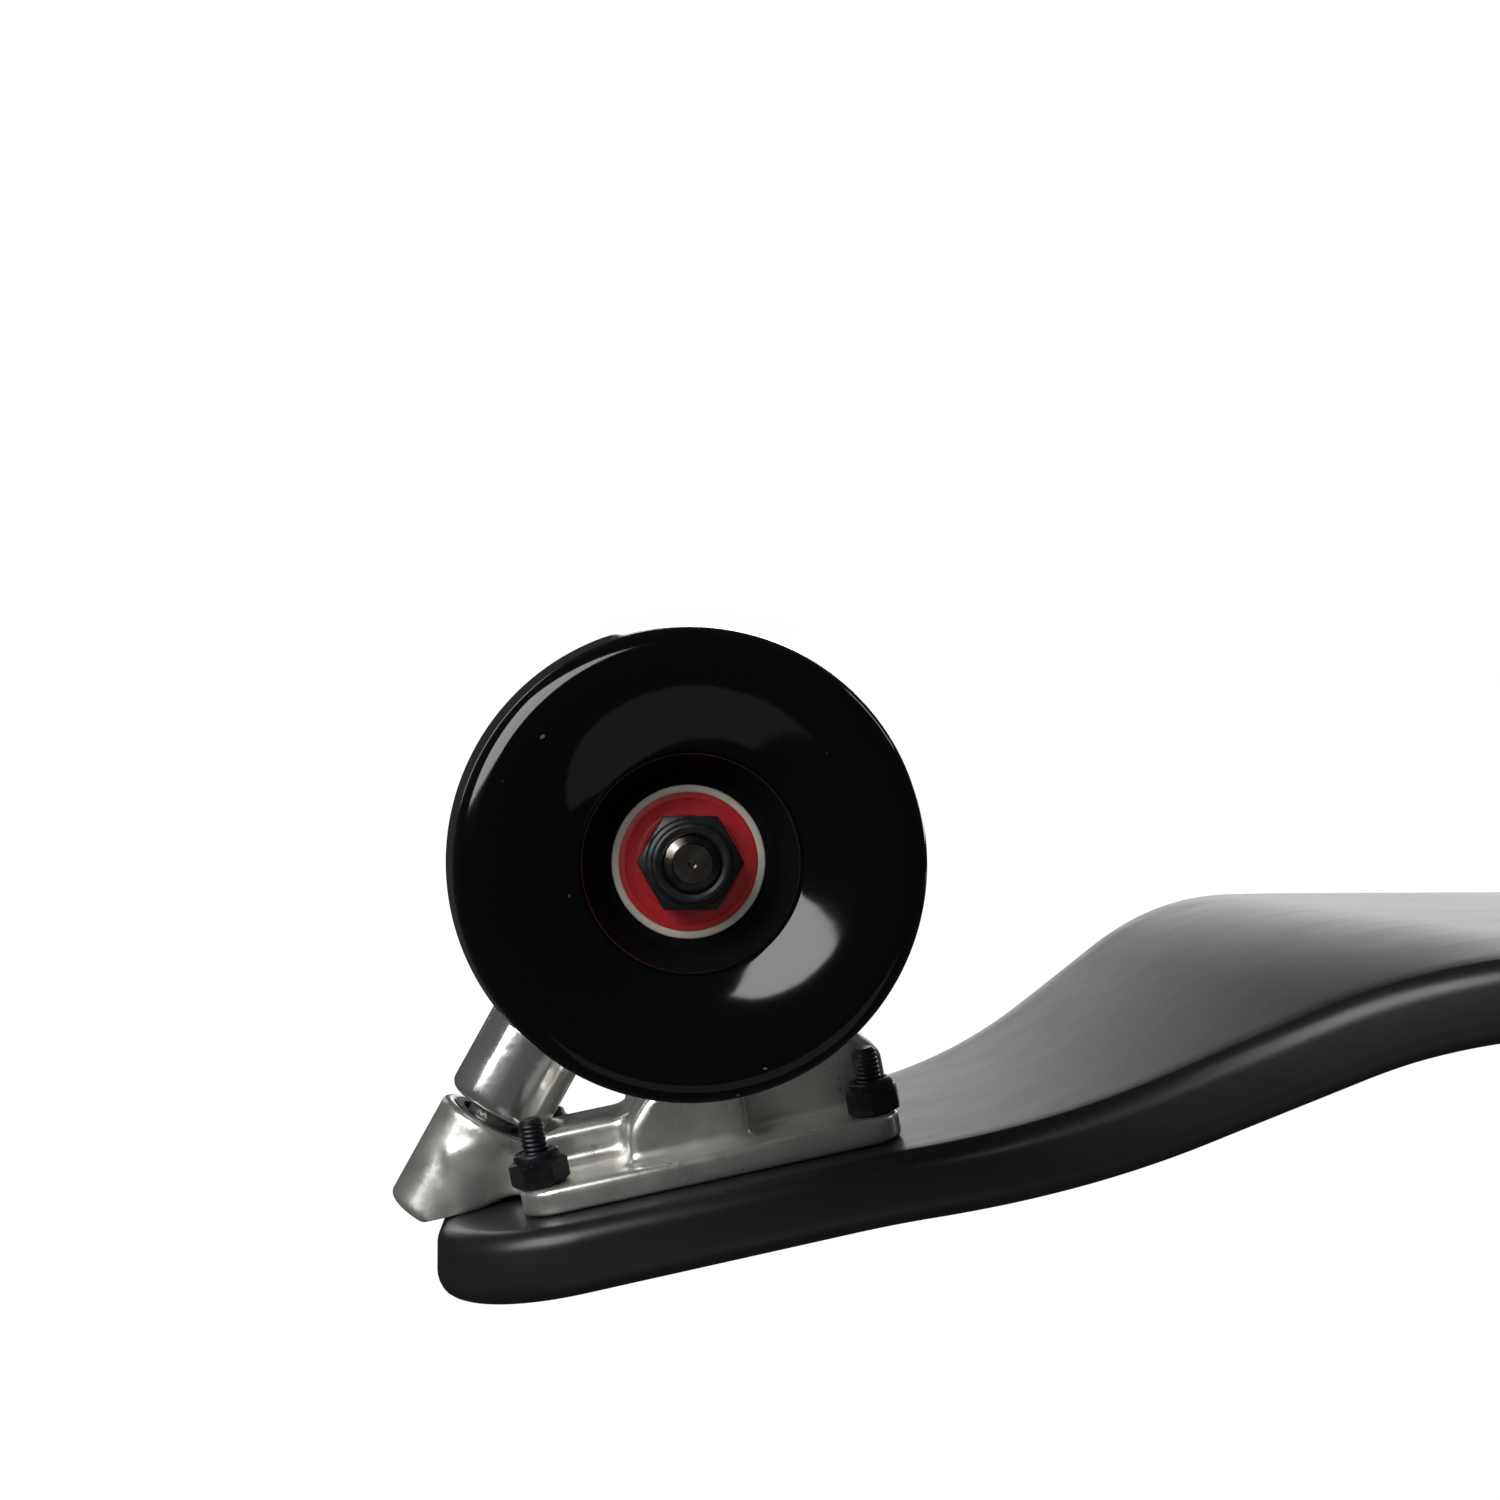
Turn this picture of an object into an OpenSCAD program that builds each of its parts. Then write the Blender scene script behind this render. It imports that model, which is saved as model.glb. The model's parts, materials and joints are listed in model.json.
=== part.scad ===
// Electric skateboard: a short drop deck on two kingpin trucks, 70 mm wheels, one rear hub motor.
// Millimetres, +X to the nose, +Y to the left, +Z up, origin on the ground under the middle.

/* [Deck] */
// Distance between the two axles
wheelbase = 600; // [520:5:760]
// Width across the middle of the deck
deck_w = 190; // [170:1:230]
// Width of the nose and of the tail
nose_w = 76; // [70:1:100]
// Thickness of the pressed maple
deck_t = 13; // [9:0.5:16]
// Radius of the corners of the nose in plan
nose_corner_r = 28; // [12:1:34]
// Nose beyond the centre of the truck plate, along the deck
nose_reach = 53; // [46:1:80]
// Slope of the nose and tail under the trucks
kick_angle = 11.2; // [6:0.2:16]
// Steepest slope of the drop between nose and middle
drop_angle = 30; // [24:0.5:38]
// Bend radius at the top of the drop
kick_radius = 130; // [90:1:150]
// Bend radius at the foot of the drop
dip_radius = 85; // [60:1:110]
// Straight run between the two bends
drop_run = 24.9; // [15:0.1:45]
// Where the flare from nose to middle begins, inboard of the axle
flare_gap = 34; // [24:1:45]
// Length of the flare
flare_l = 140; // [100:1:160]
// Thickness of the grip tape
grip_t = 0.9; // [0.6:0.1:1.5]
// Bare edge left round the grip tape
grip_margin = 4; // [3:0.5:10]

/* [Wheels] */
// Diameter of the wheels over the tread
wheel_d = 70; // [64:1:90]
// Width of a wheel
wheel_w = 51; // [42:1:58]
// Width of the flat part of the tread
tread_w = 8; // [4:1:28]
// Radius of the ring where tread lip and face meet
lip_r = 26; // [22:0.5:29]
// Radius of the cup round the bearing, at the face
cup_r = 16; // [14:0.5:20]
// Depth of the cup edge below the lip
dish_depth = 4.5; // [2:0.5:7]
// Distance from the centre line to the outer face of the outer bearing
bearing_y = 97; // [90:0.5:110]
// Width of the wheel core, over both bearings
core_w = 25; // [23:0.5:30]
// Outer diameter of the wheel core
core_d = 30; // [26:0.5:34]

/* [Bearings and axle] */
// Bore of the bearings, and diameter of the axle
axle_d = 8; // [8:0.5:10]
// Outer diameter of a wheel bearing
bearing_d = 22; // [22:0.5:26]
// Width of a wheel bearing
bearing_w = 7; // [6:0.5:9]
// Wall of a bearing's outer ring at its face
ring_wall = 1.1; // [0.9:0.1:1.6]
// Diameter of a bearing's inner ring
inner_ring_d = 12.2; // [11:0.1:14]
// Width of the axle nut across its flats
axle_nut_af = 13; // [12:0.5:15]
// Height of the axle nut
axle_nut_h = 8; // [6:0.5:10]
// Axle showing past the nut
axle_end = 1.5; // [0.5:0.5:4]

/* [Trucks] */
// Length of the truck plate
plate_l = 71.8; // [66:0.2:85]
// Width of the truck plate
plate_w = 56; // [50:1:66]
// Thickness of the truck plate
plate_t = 5; // [4:0.5:8]
// Bolt spacing along the board
bolt_pitch_x = 63.5; // [53.8:0.1:66]
// Bolt spacing across the board
bolt_pitch_y = 41.3; // [38:0.1:46]
// Height of the axle from the deck, square to the plate
axle_height = 60.9; // [54:0.1:68]
// Axle inboard of the plate's centre
axle_offset = 2.9; // [0:0.1:6]
// Slope of the pivot boss and hanger arm, from the plate
pivot_angle = 50; // [46:0.5:54]
// Diameter of the pivot boss and hanger arm
pivot_d = 21; // [18:0.5:23]
// Kingpin thread diameter
kingpin_d = 9.5; // [8:0.5:10]
// Height of the steering ring's middle from the deck
ring_height = 36; // [34:0.5:39]
// Diameter of the hanger's cross tube
tube_d = 17; // [15:0.5:20]

/* [Enclosure] */
// Middle of the electronics box, behind the middle of the board
box_x = -34; // [-36:1:-32]
// Length of the electronics box
box_l = 210; // [208:1:218]
// Width of the electronics box
box_w = 132; // [126:1:140]
// Depth of the electronics box below its gasket
box_h = 26; // [25.5:0.5:28]
// Wall of the electronics box
box_wall = 2.5; // [2:0.25:3]
// Number of battery cells across the box
cells_across = 5; // [4:1:6]

/* [Hidden] */
$fn = 48;
small = 0.01;
run_gap = 0.3; // round pieces that turn past each other
ends = [["front", 0], ["rear", 180]];
// Name, turn of the truck, side on that truck
wheels = [["front_left", 0, 1], ["front_right", 0, -1], ["rear_left", 180, -1]];

// Wheels
wheel_r = wheel_d / 2;
wheel_y = bearing_y - core_w / 2;
axle_r = axle_d / 2;
washer_t = 1;
axle_tip = bearing_y + washer_t + axle_nut_h + axle_end;
shoulder_y = bearing_y - core_w - washer_t; // end face of the hanger's tube
spacer_l = core_w - 2 * bearing_w;
shield_t = 0.4;

// Trucks: u runs inboard along the plate and v away from the deck, from the plate's centre
plate_x = wheelbase / 2 + axle_offset * cos(kick_angle) - axle_height * sin(kick_angle);
plate_z = wheel_r + axle_offset * sin(kick_angle) + axle_height * cos(kick_angle);
pivot_r = pivot_d / 2;
boss_l = 15;
ball_s = 8; // pivot ball's centre, up the boss from its foot
ball_r = 6;
nose_r = 5;
cup_wall = 1.7;
cup_outer_r = ball_r + run_gap + cup_wall;
cup_s = ball_s - cup_outer_r; // closed end of the cup
cup_taper = 3;
arm_gap = 2; // between boss and hanger arm, for steering
wing_t = 5; // web that braces the cross tube against the arm
wing_reach = 44;
foot_v = 3.8;
foot = [axle_offset - (axle_height - foot_v) / tan(pivot_angle) - 5, foot_v];
ball = foot + ball_s * [cos(pivot_angle), sin(pivot_angle)];
kingpin_lean = 3;
kingpin_u = 22;
ring_t = 8;
ring_r = 13;
lower_bush_h = 12;
upper_bush_h = 9;
bush_r = 12;
cup_washer_t = 1.5;
kingpin_nut_h = 8;
kingpin_nut_af = 14.3;
seat_s = -ring_t / 2 - lower_bush_h - cup_washer_t; // along the kingpin from the ring's middle
nut_s = ring_t / 2 + upper_bush_h + cup_washer_t;
bolt_r = 2.4;
bolt_hole_r = 2.7;
bolt_end = 17;
bolt_head_r = 4.8;
bolt_head_h = 2.6;
bolt_nut_af = 9.5;
bolt_nut_h = 6;

// Deck profile, from the plate's centre inboard
platform_in = plate_l / 2 + 1.1;
mid_z = plate_z - platform_in * sin(kick_angle) - kick_radius * (cos(kick_angle) - cos(drop_angle))
    - drop_run * sin(drop_angle) - dip_radius * (1 - cos(drop_angle));
kick_x = plate_x - platform_in * cos(kick_angle);
drop_x = kick_x - kick_radius * (sin(drop_angle) - sin(kick_angle));
dip_x = drop_x - drop_run * cos(drop_angle);
flat_x = dip_x - dip_radius * sin(drop_angle);
drop_z = mid_z + dip_radius * (1 - cos(drop_angle)) + drop_run * sin(drop_angle);
nose_x = plate_x + nose_reach * cos(kick_angle);
bend_steps = 8;
flare_steps = 14;
flare_out = wheelbase / 2 - flare_gap;

// Enclosure
gasket_t = 1.5;
flange_t = 3;
flange_w = 9;
box_corner = 16;
box_top = mid_z - gasket_t;
box_bottom = box_top - box_h;
side_y = -box_w / 2;
control_z = box_top - flange_t - 12.9;
port_x = box_x + 64;
port_l = 12;
plug_hole_r = 2.85;
port_r = 6; // barrels behind the side wall
button_barrel_r = 6.9;
button_r = 6;
button_x = box_x - 66;
light_x = box_x - 46;
light_r = 1.5;
cell_d = 18.4;
cell_l = 65.2;
cell_gap = 0.6;
tray_t = 1.2;
pack_x = box_x + 30.8; // middle of the battery
cell_z = box_bottom + box_wall + tray_t + cell_d / 2;
board_x = box_x - 71.5;
board_l = 56;
board_w = 92;
board_t = 1.6;
standoff_h = 6;
board_z = box_bottom + box_wall + standoff_h;

// Hub motor
motor_tyre_wall = 4.5;
can_r = wheel_r - motor_tyre_wall;
can_w = 44;
can_wall = 2.5;
magnet_t = 1.5;
stator_r = can_r - can_wall - magnet_t - 0.6;
stator_l = 20;
cover_t = 4;
motor_ring_r = 8; // small bearing's outer radius
motor_ring_w = 5;
motor_tube_end = wheel_y - can_w / 2 - 1.5;
motor_axle_tip = wheel_y + can_w / 2 - cover_t - 0.5;

// Motor lead, on the steering body, from the tube to the steering axis, and cable on the deck
lead_r = 3;
cable_z = 39.3;
lead_route = [[12, 50, 60.9], [17, 49.5, 60.6], [22, 46, 59], [26, 40, 56], [30, 33, 52.5],
    [34, 25.5, 49],
    [37, 18.5, 46.2], [38.6, 12.6, 44.2], [39.2, 8, 43], [40.3, 3.8, 42.9], [42.2, 0.9, 43.8],
    [44.2, 0, 44.65], [46, 0, 45.35]];
cable_route = [[-254.2, 0, 41.6], [-250.6, 0, 39.4], [-246, 0, 37.2], [-240, 0, 35.8], [-233, 0, 36.5],
    [-226, 0, 39.5], [-220, 0, 44], [-214, 0, 49], [-208, 0, 53], [-202, 0, 54.6], [-197.8, 0, 53.9],
    [-193.5, 0, 52.2], [-189.2, 0, 49.8], [-185, 0, 47], [-180.8, 0, 44.1], [-176.5, 0, 41.7],
    [-172.2, 0, 40], [-168, 0, cable_z], [-152, 0, cable_z], [-137.5, 0, cable_z]];
clip_x = [-163.5, -155.5];
gland_l = 7;
hinge_rise = 10; // cap's hinge above the middle of the port
hinge_pin_r = 0.8;

// Points of the deck's lower face on the nose half, as x, z and slope, from the middle out
function lower_curve() = concat([[0, mid_z, 0]],
    [for (i = [0 : bend_steps]) let (a = drop_angle * i / bend_steps)
        [flat_x + dip_radius * sin(a), mid_z + dip_radius * (1 - cos(a)), a]],
    [for (i = [0 : bend_steps]) let (a = drop_angle + (kick_angle - drop_angle) * i / bend_steps)
        [drop_x + kick_radius * (sin(drop_angle) - sin(a)),
            drop_z + kick_radius * (cos(a) - cos(drop_angle)), a]],
    [[nose_x + 20, plate_z + (nose_x + 20 - plate_x) * tan(kick_angle), kick_angle]]);
function shifted(points, t) = [for (p = points) [p[0] - t * sin(p[2]), p[1] + t * cos(p[2])]];
function reversed(points) = [for (i = [len(points) - 1 : -1 : 0]) points[i]];
function flipped(points) = [for (p = points) [-p[0], p[1]]];
function smooth(t) = t * t * (3 - 2 * t);

// One quarter of the deck's outline, from the nose's tip to the middle, drawn in by an inset
function quarter_outline(inset) = let (r = nose_corner_r - inset, w = nose_w / 2 - inset,
    tip = nose_x - inset)
    concat([for (a = [0 : 10 : 90]) [tip - r + r * cos(a), w - r + r * sin(a)]],
        [for (i = [0 : flare_steps]) let (t = i / flare_steps)
            [flare_out - flare_l * t, w + (deck_w - nose_w) / 2 * smooth(t)]]);
function outline(inset) = let (q = quarter_outline(inset))
    concat(q, reversed(flipped(q)), [for (p = flipped(q)) [p[0], -p[1]]],
        [for (p = reversed(q)) [p[0], -p[1]]]);

module slab(low, high, inset) {
    curve = lower_curve();
    lower = concat(reversed(flipped(shifted(curve, low))),
        [for (i = [1 : len(curve) - 1]) shifted(curve, low)[i]]);
    upper = concat(reversed(flipped(shifted(curve, high))),
        [for (i = [1 : len(curve) - 1]) shifted(curve, high)[i]]);
    intersection() {
        rotate([90, 0, 0]) linear_extrude(deck_w + 20, center = true)
            polygon(concat(lower, reversed(upper)));
        linear_extrude(plate_z + 60) polygon(outline(inset));
    }
}
// Places its children in the plate frame of a truck, u along X and v along Z
module at_truck(turn) rotate([0, 0, turn]) translate([plate_x, 0, plate_z])
    rotate([0, 180 - kick_angle, 0]) children();
module at_trucks() for (e = ends) at_truck(e[1]) children();
module at_bolts() for (u = [-1, 1], y = [-1, 1])
    translate([u * bolt_pitch_x / 2, y * bolt_pitch_y / 2, 0]) children();
// Kingpin frame: Z along the kingpin, away from the deck, from the ring's middle
module at_kingpin() translate([kingpin_u, 0, ring_height]) rotate([0, -kingpin_lean, 0]) children();
// Pivot frame: Z up the pivot boss, from the middle of its foot
module at_pivot() translate([foot[0], 0, foot[1]]) rotate([0, 90 - pivot_angle, 0]) children();
// Wheel frame: Z outward along the axle, from the wheel's middle
module at_wheel(turn, side) rotate([0, 0, turn]) translate([wheelbase / 2, side * wheel_y, wheel_r])
    rotate([-90 * side, 0, 0]) children();
module along_axle(turn, from, to, r) rotate([0, 0, turn]) translate([wheelbase / 2, from, wheel_r])
    rotate([-90, 0, 0]) cylinder(h = to - from, r = r);
module hex(af, h) cylinder(h = h, d = af / cos(30), $fn = 6);
module rounded_rect(l, w, r) {
    square([l - 2 * r, w], center = true);
    square([l, w - 2 * r], center = true);
    for (x = [-1, 1], y = [-1, 1]) translate([x * (l / 2 - r), y * (w / 2 - r)]) circle(r);
}
// A round tube swept along a route of points, each ring square to the way between its neighbours
function unit(v) = v / norm(v);
function heading(route, i) = unit(route[min(i + 1, len(route) - 1)] - route[max(i - 1, 0)]);
function ring_points(c, dir, r, sides) = let (a = unit(cross(dir, [0.3, 0.2, 1])), b = cross(dir, a))
    [for (k = [0 : sides - 1]) c + r * (cos(360 * k / sides) * a + sin(360 * k / sides) * b)];
module swept_tube(route, r, sides = 8) {
    n = len(route);
    points = [for (i = [0 : n - 1]) each ring_points(route[i], heading(route, i), r, sides)];
    walls = [for (i = [0 : n - 2], k = [0 : sides - 1]) let (j = (k + 1) % sides)
        [i * sides + k, i * sides + j, (i + 1) * sides + j, (i + 1) * sides + k]];
    polyhedron(points, concat([[for (k = [sides - 1 : -1 : 0]) k]], walls,
        [[for (k = [0 : sides - 1]) (n - 1) * sides + k]]));
}

// Deck
module deck() color("#26292a") difference() {
    slab(0, deck_t, 0);
    at_trucks() at_bolts() {
        translate([0, 0, -deck_t - 1]) cylinder(h = deck_t + 2, r = bolt_hole_r);
        translate([0, 0, -deck_t - small])
            cylinder(h = bolt_head_h + small, r1 = bolt_head_r, r2 = bolt_hole_r);
    }
    enclosure_bolts() translate([0, 0, -1]) cylinder(h = 8, r = 1.8);
}
module grip_tape() color("#1b1b1c") difference() {
    slab(deck_t, deck_t + grip_t, grip_margin);
    at_trucks() at_bolts() translate([0, 0, -deck_t - 3]) cylinder(h = 6, r = bolt_head_r + 0.6);
}
module truck_bolts() color("#25282a") at_trucks() at_bolts() {
    translate([0, 0, -deck_t]) cylinder(h = bolt_end + deck_t, r = bolt_r);
    translate([0, 0, -deck_t]) cylinder(h = bolt_head_h - 0.3, r1 = bolt_head_r - 0.3, r2 = bolt_r);
}
module truck_nuts() color("#1f2223") at_trucks() at_bolts() translate([0, 0, plate_t]) difference() {
    union() {
        hex(bolt_nut_af, bolt_nut_h - 1.6);
        cylinder(h = bolt_nut_h, r = bolt_nut_af / 2 - 0.4);
    }
    translate([0, 0, -1]) cylinder(h = bolt_nut_h + 2, r = bolt_r);
}

// Trucks, fixed half
module baseplate() color("#c9cbcc") difference() {
    union() {
        linear_extrude(plate_t) rounded_rect(plate_l, plate_w, 7);
        intersection() {
            at_pivot() translate([0, 0, -pivot_r]) cylinder(h = boss_l + pivot_r, r = pivot_r);
            translate([-100, -50, 0.4]) cube([100, 100, 60]);
            at_pivot() translate([-30, -30, -7]) cube([60, 60, 7 + boss_l]);
        }
        translate([-48, -9, 0.4]) cube([34, 18, 11.1]);
        rotate([90, 0, 0]) linear_extrude(44, center = true)
            polygon([[-15, plate_t - small], [-15, 10.7], [-8.7, 17.6], [8, 17.6], [8, plate_t - small]]);
        difference() {
            translate([0, -13.5, plate_t - small]) cube([36, 27, 20]);
            at_kingpin() translate([-40, -30, seat_s]) cube([80, 60, 40]);
            translate([36, -20, 15]) rotate([0, -45, 0]) cube([20, 40, 20]);
        }
    }
    at_bolts() translate([0, 0, -1]) cylinder(h = plate_t + 20, r = bolt_hole_r);
    at_bolts() translate([0, 0, plate_t]) cylinder(h = 30, r = bolt_nut_af / 2 + 1.6);
    at_pivot() cup_body(40);
    at_pivot() translate([0, 0, boss_l]) cylinder(h = 40, r = pivot_r + 2.5);
    at_kingpin() translate([0, 0, -60]) cylinder(h = 60, r = kingpin_d / 2 + 0.2);
    translate([kingpin_u, 0, -small]) at_kingpin_head_pocket();
}
// Pocket for the kingpin's head in the face that lies on the deck
module at_kingpin_head_pocket() translate([(ring_height) * tan(kingpin_lean), 0, 0])
    cylinder(h = 6.5, r = kingpin_nut_af / 2 / cos(30) + 0.6);
// Outside of a pivot cup, tapered at its closed end
module cup_body(length) {
    translate([0, 0, cup_s]) cylinder(h = cup_taper, r1 = 3.2, r2 = cup_outer_r);
    translate([0, 0, cup_s + cup_taper]) cylinder(h = length - cup_taper, r = cup_outer_r);
}
module pivot_cups() color("#2a2a2c") at_trucks() at_pivot() difference() {
    cup_body(boss_l - cup_s);
    translate([0, 0, ball_s]) sphere(ball_r + run_gap);
    translate([0, 0, ball_s]) cylinder(h = 20, r = ball_r + run_gap);
}
module kingpins() color("#3a3c3e") at_trucks() {
    head_z = (6 - ring_height) / cos(kingpin_lean);
    at_kingpin() translate([0, 0, head_z - 1])
        cylinder(h = nut_s + kingpin_nut_h + 2 - head_z + 1, r = kingpin_d / 2);
    at_kingpin() translate([0, 0, head_z - 4.4]) hex(kingpin_nut_af, 4.4);
}
module kingpin_nuts() color("#2c2e30") at_trucks() at_kingpin() translate([0, 0, nut_s]) difference() {
    union() {
        hex(kingpin_nut_af, kingpin_nut_h - 2);
        cylinder(h = kingpin_nut_h, r = kingpin_nut_af / 2 - 0.6);
    }
    translate([0, 0, -1]) cylinder(h = kingpin_nut_h + 2, r = kingpin_d / 2);
}
module cup_washer(r) difference() {
    cylinder(h = cup_washer_t, r = r);
    translate([0, 0, -1]) cylinder(h = cup_washer_t + 2, r = kingpin_d / 2 + 0.1);
}
module cup_washers() color("#b9bbbd") at_trucks() at_kingpin() {
    translate([0, 0, seat_s]) cup_washer(bush_r + 0.5);
    translate([0, 0, nut_s - cup_washer_t]) cup_washer(bush_r - 1);
}
module bushing(h, r1, r2) difference() {
    union() {
        cylinder(h = h / 2, r1 = r1 - 0.8, r2 = (r1 + r2) / 2);
        translate([0, 0, h / 2]) cylinder(h = h / 2, r1 = (r1 + r2) / 2, r2 = r2 - 0.4);
    }
    translate([0, 0, -1]) cylinder(h = h + 2, r = kingpin_d / 2 + 0.1);
}
module lower_bushing() color("#1d1e20") at_kingpin() translate([0, 0, seat_s + cup_washer_t])
    bushing(lower_bush_h, bush_r, bush_r);
module upper_bushing() color("#1d1e20") at_kingpin() translate([0, 0, ring_t / 2])
    bushing(upper_bush_h, bush_r, bush_r - 2.5);

// Trucks, steering half
module arm_and_ring() {
    difference() {
        union() {
            at_pivot() translate([0, 0, boss_l + arm_gap]) cylinder(h = 51 - arm_gap, r = pivot_r - 0.5);
            at_pivot() translate([0, 0, 66]) sphere(pivot_r - 0.5);
            at_pivot() translate([-0.5, 0, 0]) rotate([90, 0, 90]) linear_extrude(wing_t)
                polygon([[-wing_reach, 72], [wing_reach, 72], [pivot_r - 1, 36], [1 - pivot_r, 36]]);
            rotate([90, 0, 0]) linear_extrude(18, center = true)
                polygon([[-22, 33], [kingpin_u - 8, ring_height - ring_t / 2],
                    [kingpin_u - 8, ring_height + 5],
                    [axle_offset + 6, axle_height - 4], [-12, axle_height - 10]]);
            at_kingpin() translate([0, 0, -ring_t / 2]) cylinder(h = ring_t, r = ring_r);
        }
        at_kingpin() translate([0, 0, -20]) cylinder(h = 40, r = kingpin_d / 2 + 2.6);
        at_kingpin() translate([0, 0, ring_t / 2]) cylinder(h = 60, r = bush_r + 1.5);
        at_kingpin() translate([0, 0, -ring_t / 2 - 30]) cylinder(h = 30, r = bush_r + 2);
    }
    at_pivot() translate([0, 0, ball_s]) cylinder(h = boss_l + arm_gap - ball_s + 1, r = nose_r);
    at_pivot() translate([0, 0, ball_s]) sphere(ball_r);
}
module hanger(turn, low_end, high_end) color("#d4d6d6") difference() {
    union() {
        at_truck(turn) arm_and_ring();
        along_axle(turn, -low_end, high_end, tube_d / 2);
        along_axle(turn, -32, 32, tube_d / 2 + 1.5);
    }
    at_truck(turn) at_kingpin() translate([0, 0, ring_t / 2])
        cylinder(h = 50, r = kingpin_nut_af / 2 / cos(30) + 1.7);
    along_axle(turn, -120, 120, axle_r);
}
module axle(turn, low_tip, high_tip) color("#8e8f90") along_axle(turn, -low_tip, high_tip, axle_r);
module axle_nut(turn, side) at_wheel(turn, side) translate([0, 0, core_w / 2 + washer_t]) difference() {
    union() {
        hex(axle_nut_af, axle_nut_h - 2.2);
        cylinder(h = axle_nut_h, r = axle_nut_af / 2 - 0.8);
    }
    translate([0, 0, -1]) cylinder(h = axle_nut_h + 2, r = axle_r);
}
module washer_pair(turn, side) at_wheel(turn, side) for (z = [-core_w / 2 - washer_t, core_w / 2])
    translate([0, 0, z]) difference() {
        cylinder(h = washer_t, r = inner_ring_d / 2 - 0.3);
        translate([0, 0, -1]) cylinder(h = washer_t + 2, r = axle_r);
    }
module inner_ring_stack(turn, side) at_wheel(turn, side) translate([0, 0, -core_w / 2]) difference() {
    union() {
        cylinder(h = bearing_w, r = inner_ring_d / 2);
        translate([0, 0, bearing_w]) cylinder(h = spacer_l, r = axle_r + 1.5);
        translate([0, 0, bearing_w + spacer_l]) cylinder(h = bearing_w, r = inner_ring_d / 2);
    }
    translate([0, 0, -1]) cylinder(h = core_w + 2, r = axle_r);
}

// Wheels
// Quarter ellipse from tread to lip, points as radius and distance from the wheel's middle
function lip_curve() = [for (a = [90 : -10 : 0])
    [lip_r + (wheel_r - lip_r) * sin(a), tread_w / 2 + (wheel_w - tread_w) / 2 * cos(a)]];
// Dished face from the lip to the cup's edge
function dish_curve() = [for (i = [1 : 5]) let (t = i / 5)
    [lip_r + (cup_r - lip_r) * t, wheel_w / 2 - dish_depth * smooth(t)]];
function half_face() = concat(lip_curve(), dish_curve(),
    [[core_d / 2 - 2.6, core_w / 2 + 0.8], [core_d / 2 - 2.6, core_w / 2]]);
module tyre() color("#101213") difference() {
    rotate_extrude($fn = 96) polygon(concat(half_face(),
        [for (p = reversed(half_face())) [p[0], -p[1]]]));
    translate([0, 0, -core_w / 2]) cylinder(h = core_w, r = core_d / 2);
}
module core() color("#17191a") difference() {
    translate([0, 0, -core_w / 2]) cylinder(h = core_w, r = core_d / 2);
    for (m = [0, 1]) mirror([0, 0, m]) translate([0, 0, spacer_l / 2])
        cylinder(h = bearing_w + 1, r = bearing_d / 2);
    translate([0, 0, -core_w]) cylinder(h = 2 * core_w, r = bearing_d / 2 - 1.5);
}
module outer_ring(r, w) difference() {
    cylinder(h = w, r = r);
    translate([0, 0, -1]) cylinder(h = w + 2, r = r - 2);
    for (z = [-1, w - shield_t]) translate([0, 0, z]) cylinder(h = 1 + shield_t, r = r - ring_wall);
}
// Dust shield pressed into the recess of an outer ring
module shield(r, inner) difference() {
    cylinder(h = shield_t, r = r - ring_wall);
    translate([0, 0, -1]) cylinder(h = shield_t + 2, r = inner + run_gap);
}
module bearing_outer_rings() color("#9fa09e") for (m = [0, 1]) mirror([0, 0, m])
    translate([0, 0, spacer_l / 2]) outer_ring(bearing_d / 2, bearing_w);
module bearing_shields() color("#9e1214") for (m = [0, 1], z = [0, bearing_w - shield_t])
    mirror([0, 0, m]) translate([0, 0, spacer_l / 2 + z]) shield(bearing_d / 2, inner_ring_d / 2);

// Hub motor, rear right
module at_motor() at_wheel(180, 1) children();
function motor_lip() = [for (a = [90 : -15 : 0]) [can_r + motor_tyre_wall * sin(a),
    can_w / 2 - motor_tyre_wall + motor_tyre_wall * cos(a)]];
module motor_tyre() color("#101213") at_motor() difference() {
    rotate_extrude($fn = 96) polygon(concat([[can_r - 1, can_w / 2]], reversed(motor_lip()),
        [for (p = motor_lip()) [p[0], -p[1]]], [[can_r - 1, -can_w / 2]]));
    translate([0, 0, -can_w]) cylinder(h = 2 * can_w, r = can_r);
}
module motor_can() color("#2b2d2f") at_motor() difference() {
    translate([0, 0, -can_w / 2]) cylinder(h = can_w, r = can_r);
    difference() {
        translate([0, 0, -can_w]) cylinder(h = can_w * 1.5 - cover_t, r = can_r - can_wall);
        translate([0, 0, can_w / 2 - cover_t - motor_ring_w])
            cylinder(h = motor_ring_w + 1, r = motor_ring_r + 2);
    }
    translate([0, 0, -can_w]) cylinder(h = can_w * 1.5 - cover_t, r = motor_ring_r);
    translate([0, 0, can_w / 2 - 1]) cylinder(h = 2, r = can_r - 7);
}
module motor_cover() color("#33363a") at_motor() difference() {
    translate([0, 0, -can_w / 2]) cylinder(h = cover_t, r = can_r - can_wall);
    translate([0, 0, -can_w]) cylinder(h = can_w, r = motor_ring_r);
}
module motor_magnets() color("#6f7376") at_motor() difference() {
    translate([0, 0, -stator_l / 2]) cylinder(h = stator_l, r = can_r - can_wall);
    translate([0, 0, -stator_l]) cylinder(h = 2 * stator_l, r = can_r - can_wall - magnet_t);
    for (a = [0 : 30 : 330]) rotate([0, 0, a]) translate([0, -0.6, -stator_l])
        cube([can_r, 1.2, 2 * stator_l]);
}
module at_motor_rings() for (z = [-can_w / 2, can_w / 2 - cover_t - motor_ring_w + 0.5])
    translate([0, 0, z]) children();
module motor_bearing_outer_rings() color("#9fa09e") at_motor() at_motor_rings()
    outer_ring(motor_ring_r, cover_t);
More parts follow.
